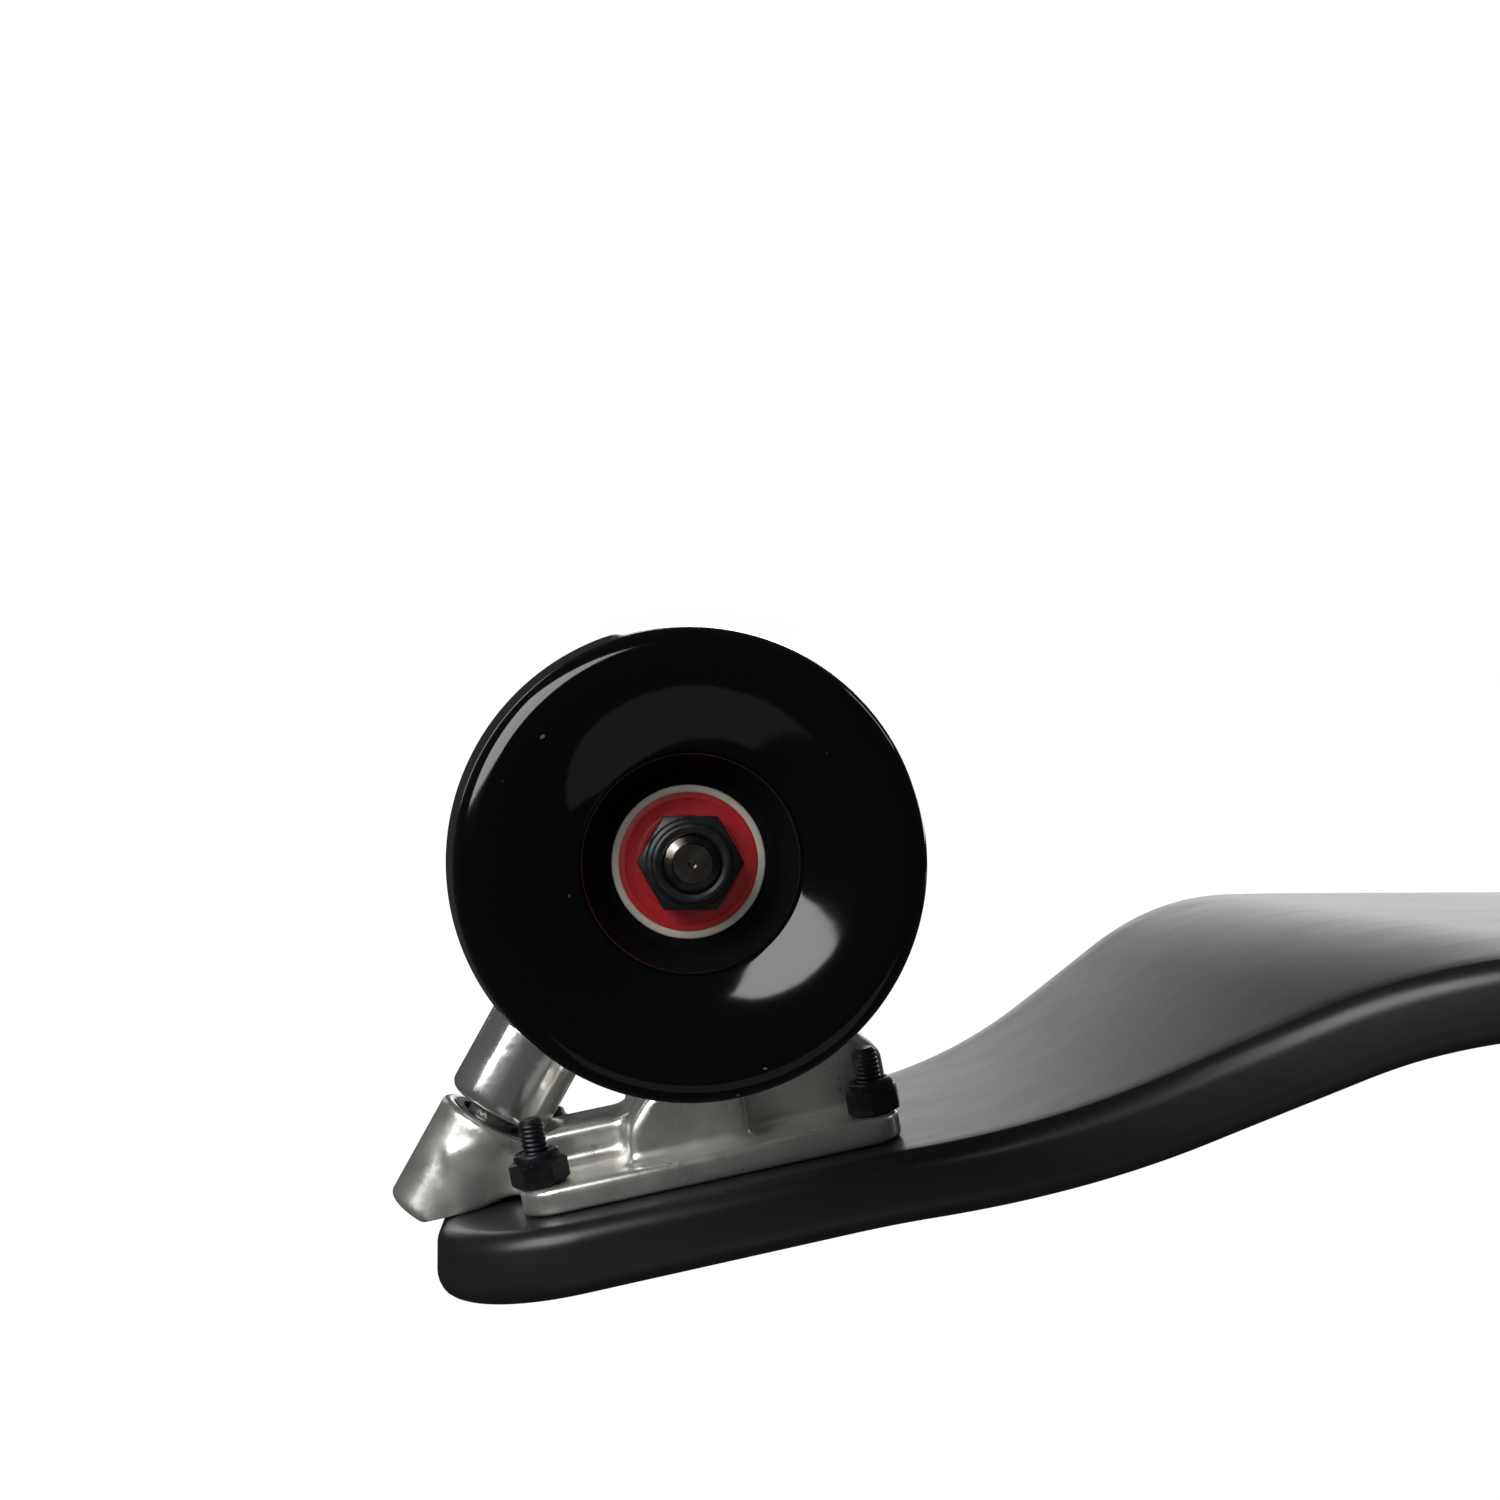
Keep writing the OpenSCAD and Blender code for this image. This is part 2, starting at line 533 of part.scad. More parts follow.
module motor_inner_rings() at_motor() at_motor_rings() difference() {
    cylinder(h = cover_t, r = axle_r + 1.2);
    translate([0, 0, -1]) cylinder(h = cover_t + 2, r = axle_r);
}
module motor_stator() color("#5b5f63") at_motor() difference() {
    translate([0, 0, -stator_l / 2]) cylinder(h = stator_l, r = stator_r);
    for (a = [0 : 30 : 330]) rotate([0, 0, a]) translate([stator_r - 10, -2.2, -stator_l])
        cube([8.5, 4.4, 2 * stator_l]);
    translate([0, 0, -stator_l]) cylinder(h = 2 * stator_l, r = axle_r);
}
module motor_windings() color("#b4682c") at_motor() for (a = [0 : 30 : 330]) rotate([0, 0, a])
    translate([stator_r - 9.6, -1.9, -stator_l / 2 - 2]) cube([7.8, 3.8, stator_l + 4]);

// Electronics under the deck
module enclosure_bolts() for (x = [-1, 0, 1], y = [-1, 1])
    translate([box_x + x * (box_l / 2 - 20), y * (box_w + flange_w) / 2, mid_z]) children();
module box_outline(grow) translate([box_x, 0])
    rounded_rect(box_l + 2 * grow, box_w + 2 * grow, box_corner + grow);
module enclosure_shell() color("#1c1e1f") difference() {
    union() {
        translate([0, 0, box_bottom]) linear_extrude(box_h) box_outline(0);
        translate([0, 0, box_top - flange_t]) linear_extrude(flange_t) box_outline(flange_w);
    }
    translate([0, 0, box_bottom + box_wall]) linear_extrude(box_h) box_outline(-box_wall);
    enclosure_bolts() translate([0, 0, -20]) cylinder(h = 30, r = 2.1);
    translate([port_x, side_y - 1, control_z]) rotate([-90, 0, 0]) cylinder(h = box_wall + 2, r = port_r);
    translate([button_x, side_y - 1, control_z]) rotate([-90, 0, 0])
        cylinder(h = box_wall + 2, r = button_barrel_r);
    for (i = [0 : 3]) translate([light_x + 5 * i, side_y - 1, control_z]) rotate([-90, 0, 0])
        cylinder(h = box_wall + 2, r = light_r);
    translate([box_x - box_l / 2 - 1, 0, cable_z]) rotate([0, 90, 0])
        cylinder(h = box_wall + 2, r = lead_r + 0.8);
}
module enclosure_gasket() color("#111111") translate([0, 0, box_top]) difference() {
    linear_extrude(gasket_t) box_outline(flange_w - 1);
    translate([0, 0, -1]) linear_extrude(gasket_t + 2) box_outline(0);
    enclosure_bolts() translate([0, 0, -mid_z - 20]) cylinder(h = 60, r = 2.1);
}
module enclosure_screws() color("#3a3d3f") enclosure_bolts() {
    translate([0, 0, -gasket_t - flange_t]) cylinder(h = gasket_t + flange_t + 6.5, r = 1.8);
    translate([0, 0, -gasket_t - flange_t - 2.2]) difference() {
        cylinder(h = 2.2, r = 3.6);
        translate([0, 0, -1]) cylinder(h = 2.2, r = 1.4, $fn = 6);
    }
}
module battery_cells() color("#2f6fa8") for (i = [0, 1], k = [0 : cells_across - 1])
    translate([pack_x + (i - 1) * (cell_l + 1) + 0.5, (k - (cells_across - 1) / 2) * (cell_d + cell_gap),
        cell_z])
        rotate([0, 90, 0]) cylinder(h = cell_l, r = cell_d / 2);
module battery_tray() color("#3b3f42") difference() {
    translate([pack_x - cell_l - 4, -(cells_across * (cell_d + cell_gap)) / 2 - 2, box_bottom + box_wall])
        cube([2 * cell_l + 9, cells_across * (cell_d + cell_gap) + 4, 9]);
    translate([pack_x - cell_l - 2, -(cells_across * (cell_d + cell_gap)) / 2, cell_z])
        cube([2 * cell_l + 5, cells_across * (cell_d + cell_gap), 20]);
    for (k = [0 : cells_across - 1]) translate([pack_x - cell_l - 2,
        (k - (cells_across - 1) / 2) * (cell_d + cell_gap), cell_z])
        rotate([0, 90, 0]) cylinder(h = 2 * cell_l + 5, r = cell_d / 2);
}
module controller_board() color("#1f5f3a") {
    translate([board_x - board_l / 2, -board_w / 2, board_z]) cube([board_l, board_w, board_t]);
    for (x = [-1, 1], y = [-1, 1]) translate([board_x + x * (board_l / 2 - 4), y * (board_w / 2 - 4),
        board_z - standoff_h])
        cylinder(h = standoff_h, r = 2.5);
    for (k = [-1 : 1]) translate([board_x - 18, k * 14 + 24, board_z + board_t]) cylinder(h = 10, r = 5);
}
module controller_heatsink() color("#a9adb0") translate([board_x + 6, -22, board_z + board_t]) {
    translate([-18, -20, 0]) cube([36, 40, 2]);
    for (i = [0 : 6]) translate([-18, -20 + i * 6.4, 2 - small]) cube([36, 1.6, 7]);
}
module charge_port() color("#2a2c2e") translate([port_x, side_y, control_z])
    rotate([90, 0, 0]) difference() {
    union() {
        cylinder(h = 1.6, r = 7.5);
        translate([0, 0, -port_l]) cylinder(h = port_l, r = port_r);
    }
    translate([0, 0, -port_l - 1]) cylinder(h = port_l + 10, r = plug_hole_r);
}
// Ears and pin that carry the cap
module charge_port_hinge() color("#2a2c2e") at_cap_hinge() {
    for (x = [-5, 3.4]) translate([x, 0, 0]) rotate([0, 90, 0]) cylinder(h = 1.6, r = 1.6);
    for (x = [-5, 3.4]) translate([x, 0, -1.6]) cube([1.6, 2.6, 3.2]);
    translate([-5, 0, 0]) rotate([0, 90, 0]) cylinder(h = 10, r = hinge_pin_r);
}
module at_cap_hinge() translate([port_x, side_y - 2.6, control_z + hinge_rise]) children();
module button_bezel() color("#3c4043") translate([button_x, side_y, control_z])
    rotate([90, 0, 0]) difference() {
    union() {
        cylinder(h = 1.6, r = 9.5);
        translate([0, 0, -10]) cylinder(h = 10, r = button_barrel_r);
    }
    translate([0, 0, -8]) cylinder(h = 20, r = button_r + run_gap);
}
module power_button() color("#4a4f53") translate([button_x, side_y, control_z])
    rotate([90, 0, 0]) difference() {
    translate([0, 0, -6.2]) cylinder(h = 9, r = button_r);
    translate([0, 0, 2.2]) cylinder(h = 2, r = button_r - 1.4);
}
module status_lights() color("#9fd9a0") for (i = [0 : 3]) translate([light_x + 5 * i, side_y, control_z])
    rotate([90, 0, 0])
    translate([0, 0, -box_wall]) cylinder(h = box_wall + 0.4, r = light_r);
module charge_port_cap() color("#161718") difference() {
    union() {
        translate([port_x, side_y - 1.9, control_z]) rotate([90, 0, 0]) {
            cylinder(h = 2, r = 7.5);
            translate([-3, 6, 0]) cube([6, 3, 1.6]);
        }
        at_cap_hinge() translate([-3, 0, 0]) rotate([0, 90, 0]) cylinder(h = 6, r = 1.6);
    }
    at_cap_hinge() translate([-10, 0, 0]) rotate([0, 90, 0]) cylinder(h = 20, r = hinge_pin_r + 0.06);
}

// Motor lead and cable
module motor_lead() color("#141414") at_truck(180) swept_tube(lead_route, lead_r);
module motor_cable() color("#141414") swept_tube(cable_route, lead_r);
module cable_clips() color("#1c1e1f") difference() {
    for (x = clip_x) translate([x - 3, -7, cable_z - lead_r - 1.5]) cube([6, 14, 22]);
    translate([0, 0, cable_z]) rotate([0, -90, 0]) cylinder(h = 200, r = lead_r + 0.1);
    slab(0, 30, -2);
}
module cable_gland() color("#141414") translate([box_x - box_l / 2 - gland_l, 0, cable_z])
    rotate([0, 90, 0]) difference() {
    union() {
        cylinder(h = gland_l, r1 = lead_r + 1.2, r2 = lead_r + 2.4);
        translate([0, 0, gland_l]) cylinder(h = box_wall, r = lead_r + 0.8);
    }
    translate([0, 0, -10]) cylinder(h = 40, r = lead_r + 0.1);
}

deck();
grip_tape();
truck_bolts();
truck_nuts();
enclosure_shell();
enclosure_gasket();
enclosure_screws();
battery_cells();
battery_tray();
controller_board();
controller_heatsink();
charge_port();
charge_port_hinge();
charge_port_cap();
button_bezel();
power_button();
status_lights();
motor_cable();
cable_clips();
cable_gland();
pivot_cups();
kingpins();
kingpin_nuts();
cup_washers();
for (e = ends) {
    at_truck(e[1]) baseplate();
    at_truck(e[1]) lower_bushing();
    at_truck(e[1]) upper_bushing();
    hanger(e[1], shoulder_y, e[1] == 0 ? shoulder_y : motor_tube_end);
    axle(e[1], axle_tip, e[1] == 0 ? axle_tip : motor_axle_tip);
    color("#202223")
        for (w = wheels) if (w[1] == e[1]) axle_nut(w[1], w[2]);
    color("#8b8d8e")
        for (w = wheels) if (w[1] == e[1]) washer_pair(w[1], w[2]);
    color("#a5a6a4") {
        for (w = wheels) if (w[1] == e[1]) inner_ring_stack(w[1], w[2]);
        if (e[1] == 180) motor_inner_rings();
    }
}
for (w = wheels) {
    at_wheel(w[1], w[2]) tyre();
    at_wheel(w[1], w[2]) core();
    at_wheel(w[1], w[2])
        bearing_outer_rings();
    at_wheel(w[1], w[2]) bearing_shields();
}
motor_tyre();
motor_can();
motor_cover();
motor_magnets();
motor_bearing_outer_rings();
motor_stator();
motor_windings();
motor_lead();
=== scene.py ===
# Electric skateboard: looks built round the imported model, in metres in its frame.
import json

import bmesh
import bpy
import numpy as np
from mathutils import Matrix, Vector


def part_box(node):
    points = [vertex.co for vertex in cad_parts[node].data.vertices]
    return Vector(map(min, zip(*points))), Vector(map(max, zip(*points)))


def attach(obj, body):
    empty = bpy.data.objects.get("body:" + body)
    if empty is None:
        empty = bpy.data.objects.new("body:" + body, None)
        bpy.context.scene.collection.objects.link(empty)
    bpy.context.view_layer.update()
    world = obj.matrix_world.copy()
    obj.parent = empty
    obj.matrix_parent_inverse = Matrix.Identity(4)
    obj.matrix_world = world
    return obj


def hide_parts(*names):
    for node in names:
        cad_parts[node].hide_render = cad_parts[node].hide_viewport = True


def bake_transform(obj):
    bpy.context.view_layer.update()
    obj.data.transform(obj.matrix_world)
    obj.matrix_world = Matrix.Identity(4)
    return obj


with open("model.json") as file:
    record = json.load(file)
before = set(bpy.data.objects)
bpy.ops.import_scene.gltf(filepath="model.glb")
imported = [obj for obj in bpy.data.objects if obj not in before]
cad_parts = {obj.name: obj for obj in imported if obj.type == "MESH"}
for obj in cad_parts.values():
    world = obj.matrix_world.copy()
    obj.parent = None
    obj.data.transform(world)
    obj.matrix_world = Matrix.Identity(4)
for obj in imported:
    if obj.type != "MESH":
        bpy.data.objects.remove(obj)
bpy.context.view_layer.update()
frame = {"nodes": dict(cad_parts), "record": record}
mm = 0.001
print("frame loaded")


# sRGB hex to linear red, green, blue and alpha
def linearColour(hexText):
    parts = np.array([int(hexText[i:i + 2], 16) for i in (1, 3, 5)]) / 255
    linear = np.where(parts <= 0.04045, parts / 12.92, ((parts + 0.055) / 1.055) ** 2.4)
    return (*[float(c) for c in linear], 1.0)


# One mesh object at the origin, doubles merged and faces outwards; edges sharper than smoothAngle stay crisp
def newPiece(name, points, faces, smoothAngle=40):
    mesh = bpy.data.meshes.new(name)
    mesh.from_pydata(np.asarray(points, float).tolist(), [], [[int(n) for n in f] for f in faces])
    form = bmesh.new()
    form.from_mesh(mesh)
    bmesh.ops.remove_doubles(form, verts=form.verts, dist=1e-6)
    bmesh.ops.recalc_face_normals(form, faces=form.faces)
    form.to_mesh(mesh)
    form.free()
    piece = bpy.data.objects.new(name, mesh)
    bpy.context.scene.collection.objects.link(piece)
    mesh.polygons.foreach_set("use_smooth", np.ones(len(mesh.polygons), bool))
    mesh.set_sharp_from_angle(angle=np.radians(smoothAngle))
    return piece


# Quads of a rows by columns grid of points, wrapped round where closed
def gridFaces(rows, columns, closedRows=False, closedColumns=False):
    r = np.arange(rows if closedRows else rows - 1)
    c = np.arange(columns if closedColumns else columns - 1)
    r, c = np.meshgrid(r, c, indexing="ij")
    r2, c2 = (r + 1) % rows, (c + 1) % columns
    return np.stack([r * columns + c, r * columns + c2, r2 * columns + c2, r2 * columns + c], -1).reshape(-1, 4)


# Rings of points (ring, step, xyz) skinned with quads; the first and last ring close on their middles,
# unless the rings run round into each other
def skinned(name, rings, closed=False, smoothAngle=40, flip=False):
    count, steps = rings.shape[:2]
    faces = [tuple(f) for f in gridFaces(count, steps, closed, True)]
    points = rings.reshape(-1, 3)
    if not closed:
        first, last = len(points), len(points) + 1
        points = np.vstack([points, points[:steps].mean(0), points[-steps:].mean(0)])
        k = np.arange(steps)
        faces += [(first, (i + 1) % steps, i) for i in k]
        faces += [(last, (count - 1) * steps + i, (count - 1) * steps + (i + 1) % steps) for i in k]
    if flip:
        faces = [f[::-1] for f in faces]
    return newPiece(name, points, faces, smoothAngle)


# Three unit vectors, the last along the direction
def axisFrame(direction):
    w = np.array(direction, float) / np.linalg.norm(direction)
    helper = np.array([0, 0, 1.0]) if abs(w[2]) < 0.9 else np.array([1.0, 0, 0])
    u = np.cross(helper, w)
    u /= np.linalg.norm(u)
    return u, np.cross(w, u), w


# Radius and height given for every ring and angle, in millimetres, set round an axis:
# point = origin + radius x (cos angle, sin angle) + height along the axis
def aroundAxis(name, radius, height, origin, direction, closed=False, smoothAngle=40):
    u, v, w = axisFrame(direction)
    steps = radius.shape[1]
    angle = np.linspace(0, 2 * np.pi, steps, endpoint=False)[None, :, None]
    outwards = np.cos(angle) * u + np.sin(angle) * v
    rings = np.array(origin) + mm * (radius[..., None] * outwards + height[..., None] * w)
    return skinned(name, rings, closed, smoothAngle)


# A profile of radius and height turned about an axis, its points going up the outside and down the inside
def turned(name, profile, origin, direction, steps=96, closed=False, smoothAngle=40):
    profile = np.asarray(profile, float)
    radius, height = [np.repeat(profile[:, i:i + 1], steps, 1) for i in (0, 1)]
    return aroundAxis(name, radius, height, origin, direction, closed, smoothAngle)


# Corners of a polyline cut back by the radius and joined by quadratic curves
def rounded(profile, radius, count=5):
    profile = np.asarray(profile, float)
    out = [profile[:1]]
    for before, corner, after in zip(profile, profile[1:], profile[2:]):
        a, b = before - corner, after - corner
        la, lb = np.linalg.norm(a), np.linalg.norm(b)
        cut = min(radius, la * 0.45, lb * 0.45)
        start, end = corner + a / la * cut, corner + b / lb * cut
        t = np.linspace(0, 1, count)[:, None]
        out.append((1 - t) ** 2 * start + 2 * t * (1 - t) * corner + t * t * end)
    out.append(profile[-1:])
    return np.vstack(out)


def joined(name, pieces):
    bpy.ops.object.select_all(action="DESELECT")
    for piece in pieces:
        piece.select_set(True)
    bpy.context.view_layer.objects.active = pieces[0]
    bpy.ops.object.join()
    pieces[0].name = pieces[0].data.name = name
    return pieces[0]


# camera
cameraSettings = {
    "place": (0.31237, -0.33566, 0.02767),
    "forward": (-0.08802, 0.99548, -0.0358),
    "up": (0.00388, -0.03559, -0.99936),  # the board hangs wheels up
    "lens": 40.24,
}
cameraData = bpy.data.cameras.new("camera")
camera = bpy.data.objects.new("camera", cameraData)
bpy.context.scene.collection.objects.link(camera)
bpy.context.scene.camera = camera
cameraData.lens = cameraSettings["lens"]
cameraData.sensor_width = 36
cameraData.clip_start = 0.01
forward = np.array(cameraSettings["forward"])
forward /= np.linalg.norm(forward)
right = np.cross(forward, cameraSettings["up"])
right /= np.linalg.norm(right)
turn = np.eye(4)
turn[:3, 0], turn[:3, 1], turn[:3, 2] = right, np.cross(right, forward), -forward
turn[:3, 3] = cameraSettings["place"]
camera.matrix_world = Matrix(turn.tolist())
print("camera placed")


# Adds one node: inputs by name or number take a value or another node's output, settings go to the node
def addNode(tree, kind, inputs=None, **settings):
    node = tree.nodes.new(kind)
    for key, value in settings.items():
        setattr(node, key, value)
    for key, value in (inputs or {}).items():
        if isinstance(value, bpy.types.NodeSocket):
            tree.links.new(value, node.inputs[key])
        else:
            node.inputs[key].default_value = value
    return node


# A material with one noise pattern on Object coordinates. grain is the pattern's size and depth its relief, in
# millimetres; it moves the roughness by spread either way and the colour from tone to otherTone
def grainedMaterial(name, tone, roughness, metallic=0.0, grain=1.0, depth=0.02, spread=0.25, otherTone=None,
                    stretch=(1, 1, 1), detail=3.0, **sockets):
    material = bpy.data.materials.new(name)
    material.use_nodes = True
    tree = material.node_tree
    shader = tree.nodes["Principled BSDF"]
    shader.inputs["Base Color"].default_value = linearColour(tone)
    shader.inputs["Metallic"].default_value = metallic
    for key, value in sockets.items():
        shader.inputs[key.replace("_", " ")].default_value = value
    spot = addNode(tree, "ShaderNodeTexCoord").outputs["Object"]
    spot = addNode(tree, "ShaderNodeMapping", {"Vector": spot, "Scale": stretch}).outputs["Vector"]
    pattern = addNode(tree, "ShaderNodeTexNoise",
                      {"Vector": spot, "Scale": 1000 / grain, "Detail": detail}).outputs["Fac"]
    rough = addNode(tree, "ShaderNodeMapRange", {"Value": pattern, "From Min": 0.25, "From Max": 0.75,
                                                 "To Min": roughness * (1 - spread),
                                                 "To Max": min(1, roughness * (1 + spread))})
    tree.links.new(rough.outputs["Result"], shader.inputs["Roughness"])
    if otherTone:
        tint = addNode(tree, "ShaderNodeMix", {"Factor": pattern}, data_type="RGBA")
        tint.inputs["A"].default_value = linearColour(tone)
        tint.inputs["B"].default_value = linearColour(otherTone)
        tree.links.new(tint.outputs["Result"], shader.inputs["Base Color"])
    relief = addNode(tree, "ShaderNodeBump", {"Height": pattern, "Distance": depth * mm, "Strength": 0.6})
    tree.links.new(relief.outputs["Normal"], shader.inputs["Normal"])
    return material


# Deck: satin black lacquer sprayed on maple; the grain's long pores just show through and break up the sheen
def satinLacquer():
    material = grainedMaterial("satinLacquer", "#121415", 0.36, grain=5, depth=0.03, spread=0.06, otherTone="#17191a",
                               stretch=(0.1, 1, 1), detail=6)
    tree = material.node_tree
    shader = tree.nodes["Principled BSDF"]
    first = shader.inputs["Normal"].links[0].from_socket
    spot = addNode(tree, "ShaderNodeTexCoord").outputs["Object"]
    peel = addNode(tree, "ShaderNodeTexNoise", {"Vector": spot, "Scale": 700.0, "Detail": 1.0}).outputs["Fac"]
    second = addNode(tree, "ShaderNodeBump", {"Height": peel, "Distance": 0.00003, "Strength": 0.5, "Normal": first})
    tree.links.new(second.outputs["Normal"], shader.inputs["Normal"])
    return material


# Grip sheet: carbide grit half a millimetre across, glued down; dull black with glints
def gripGrit():
    material = grainedMaterial("gripGrit", "#0d0e0f", 0.75, grain=0.7, depth=0.25, spread=0.3, otherTone="#333436")
    tree = material.node_tree
    shader = tree.nodes["Principled BSDF"]
    spot = addNode(tree, "ShaderNodeTexCoord").outputs["Object"]
    grit = addNode(tree, "ShaderNodeTexVoronoi", {"Vector": spot, "Scale": 1600.0}).outputs["Distance"]
    relief = addNode(tree, "ShaderNodeBump", {"Height": grit, "Distance": 0.0004, "Strength": 0.9})
    tree.links.new(relief.outputs["Normal"], shader.inputs["Normal"])
    return material


# Wheels: urethane cast in a polished mould, deep black and glossy, with faint flow marks and a few dust specks
def castUrethane():
    material = grainedMaterial("castUrethane", "#030404", 0.09, grain=14, depth=0.1, spread=0.3, IOR=1.48)
    tree = material.node_tree
    shader = tree.nodes["Principled BSDF"]
    spot = addNode(tree, "ShaderNodeTexCoord").outputs["Object"]
    dust = addNode(tree, "ShaderNodeTexNoise", {"Vector": spot, "Scale": 520.0, "Detail": 1.0}).outputs["Fac"]
    speck = addNode(tree, "ShaderNodeMapRange", {"Value": dust, "From Min": 0.79, "From Max": 0.81})
    tint = addNode(tree, "ShaderNodeMix", {"Factor": speck.outputs["Result"]}, data_type="RGBA")
    tint.inputs["A"].default_value = linearColour("#030404")
    tint.inputs["B"].default_value = linearColour("#4a4c4c")
    tree.links.new(tint.outputs["Result"], shader.inputs["Base Color"])
    return material


# Parallel ridges across one axis, a size in millimetres apart: stacked sheet steel, wound wire. The colour follows the
# relief, from the dark tone in each groove to the light tone on each ridge: painted shade in the grooves
def ridgedMetal(name, dark, light, roughness, pitch, across, coat=0.0):
    material = grainedMaterial(name, light, roughness, 0.9, Coat_Weight=coat)
    tree = material.node_tree
    shader = tree.nodes["Principled BSDF"]
    spot = addNode(tree, "ShaderNodeTexCoord").outputs["Object"]
    wavesPerScale = 20
    ridges = addNode(tree, "ShaderNodeTexWave", {"Vector": spot, "Scale": 1000 / pitch / wavesPerScale},
                     bands_direction=across).outputs["Fac"]
    # painted shade: the wave that shapes the ridges also darkens the colour in the grooves between sheets and between
    # turns of wire
    tint = addNode(tree, "ShaderNodeMix", {"Factor": ridges}, data_type="RGBA")
    tint.inputs["A"].default_value = linearColour(dark)
    tint.inputs["B"].default_value = linearColour(light)
    tree.links.new(tint.outputs["Result"], shader.inputs["Base Color"])
    relief = addNode(tree, "ShaderNodeBump", {"Height": ridges, "Distance": 0.0002, "Strength": 0.7})
    tree.links.new(relief.outputs["Normal"], shader.inputs["Normal"])
    return material


# Circuit board: green solder mask, glossy, with copper tracks that show as slightly raised lines
def solderMask():
    material = grainedMaterial("solderMask", "#14502f", 0.3, grain=3, depth=0.01, Coat_Weight=0.4)
    tree = material.node_tree
    shader = tree.nodes["Principled BSDF"]
    spot = addNode(tree, "ShaderNodeTexCoord").outputs["Object"]
    tracks = addNode(tree, "ShaderNodeTexBrick", {"Vector": spot, "Scale": 90.0, "Mortar Size": 0.04}).outputs["Fac"]
    tint = addNode(tree, "ShaderNodeMix", {"Factor": tracks}, data_type="RGBA")
    tint.inputs["A"].default_value = linearColour("#14502f")
    tint.inputs["B"].default_value = linearColour("#247a4a")
    tree.links.new(tint.outputs["Result"], shader.inputs["Base Color"])
    relief = addNode(tree, "ShaderNodeBump", {"Height": tracks, "Distance": 0.0001, "Strength": 0.5})
    tree.links.new(relief.outputs["Normal"], shader.inputs["Normal"])
    return material


materials = {
    "deck_lacquer": satinLacquer(),
    "grip_tape": gripGrit(),
    "wheel_urethane": castUrethane(),
    # glass-filled nylon, dull near black
    "core_plastic": grainedMaterial("filledNylon", "#030303", 0.8, grain=0.8, Specular_IOR_Level=0.1),
    # red nitrile rubber moulded on a steel washer: satin, a little uneven
    "shield_red": grainedMaterial("redNitrile", "#930f13", 0.4, grain=1.5, depth=0.03, otherTone="#a81417"),
    # bearing steel, ground and polished
    "bearing_steel": grainedMaterial("bearingSteel", "#d2cbc0", 0.42, 0.55, grain=1.2, depth=0.01),
    # bright drawn steel bar with rolled threads
    "axle_steel": grainedMaterial("axleSteel", "#8d8781", 0.2, 1.0, grain=2, depth=0.01, otherTone="#a8a29b"),
    # bright zinc plate on pressed steel
    "washer_steel": grainedMaterial("zincPlate", "#c4c5c6", 0.28, 1.0, grain=2, depth=0.01),
    # black oxide on steel: half dull, a little lighter where it has worn
    "black_steel": grainedMaterial("blackOxide", "#131518", 0.36, 0.7, grain=2, depth=0.02, otherTone="#2f3236"),
    "axle_nut_steel": grainedMaterial("blackPlate", "#1d1e1f", 0.36, 0.6, grain=1.5, depth=0.015, otherTone="#2a2b2c"),
    # cast aluminium, tumbled and polished: bright, with soft ripples that the mould left
    "hanger_aluminium": grainedMaterial("polishedCasting", "#dbdbd7", 0.17, 0.93, grain=11, depth=0.4, spread=0.4,
                                        otherTone="#dededb"),
    "plate_aluminium": grainedMaterial("tumbledCasting", "#d3d1cb", 0.32, 0.88, grain=9, depth=0.3, spread=0.4,
                                       otherTone="#d2d1cd"),
    # cast urethane cushions, black, satin
    "bushing_urethane": grainedMaterial("bushingUrethane", "#1b1c1e", 0.4, grain=3),
    "pivot_cup_urethane": grainedMaterial("cupUrethane", "#232325", 0.5, grain=2),
    # black foam rubber with a dull skin
    "gasket_rubber": grainedMaterial("foamRubber", "#101112", 0.75, grain=0.8, depth=0.1),
    # extruded rubber sheath, satin
    "cable_sheath": grainedMaterial("rubberSheath", "#121213", 0.48, grain=2, depth=0.03),
    # ABS moulded in a spark-etched tool: fine even grain
    "enclosure_abs": grainedMaterial("etchedAbs", "#18191b", 0.52, grain=0.9, depth=0.08, spread=0.15),
    "tray_plastic": grainedMaterial("tradePolypropylene", "#2a2c2e", 0.5, grain=1.5),
    "button_plastic": grainedMaterial("smoothAbs", "#3a3d40", 0.35, grain=0.6),
    # heat-shrunk PVC round the cells, blue, slightly wrinkled
    "cell_wrap": grainedMaterial("shrinkWrap", "#2a6aa3", 0.28, grain=6, depth=0.15, otherTone="#3278b5"),
    # blasted and anodised aluminium, even satin
    "motor_can_metal": grainedMaterial("blackAnodised", "#1f2124", 0.34, 0.85, grain=0.5, depth=0.02),
    "bezel_metal": grainedMaterial("greyAnodised", "#3a3d40", 0.3, 0.9, grain=0.5, depth=0.02),
    "heatsink_aluminium": grainedMaterial("clearAnodised", "#b5b8ba", 0.36, 0.95, grain=0.5, depth=0.02),
    # nickel plate on sintered magnets
    "magnet_nickel": grainedMaterial("nickelPlate", "#b6b9b9", 0.22, 1.0, grain=3, depth=0.02),
    # steel sheets half a millimetre thick, stamped and stacked along the axle
    "stator_steel": ridgedMetal("stackedSheets", "#3c3f42", "#7a7e82", 0.4, 0.5, "Y"),
    # enamelled copper wire a millimetre across, wound side by side
    "winding_copper": ridgedMetal("enamelledCopper", "#6b3413", "#c8783a", 0.3, 1.0, "X", coat=0.5),
    "circuit_board": solderMask(),
    # frosted polycarbonate over small green lights
    "light_lens": grainedMaterial("frostedLens", "#bfe6c4", 0.35, grain=0.6, Transmission_Weight=0.3),
}
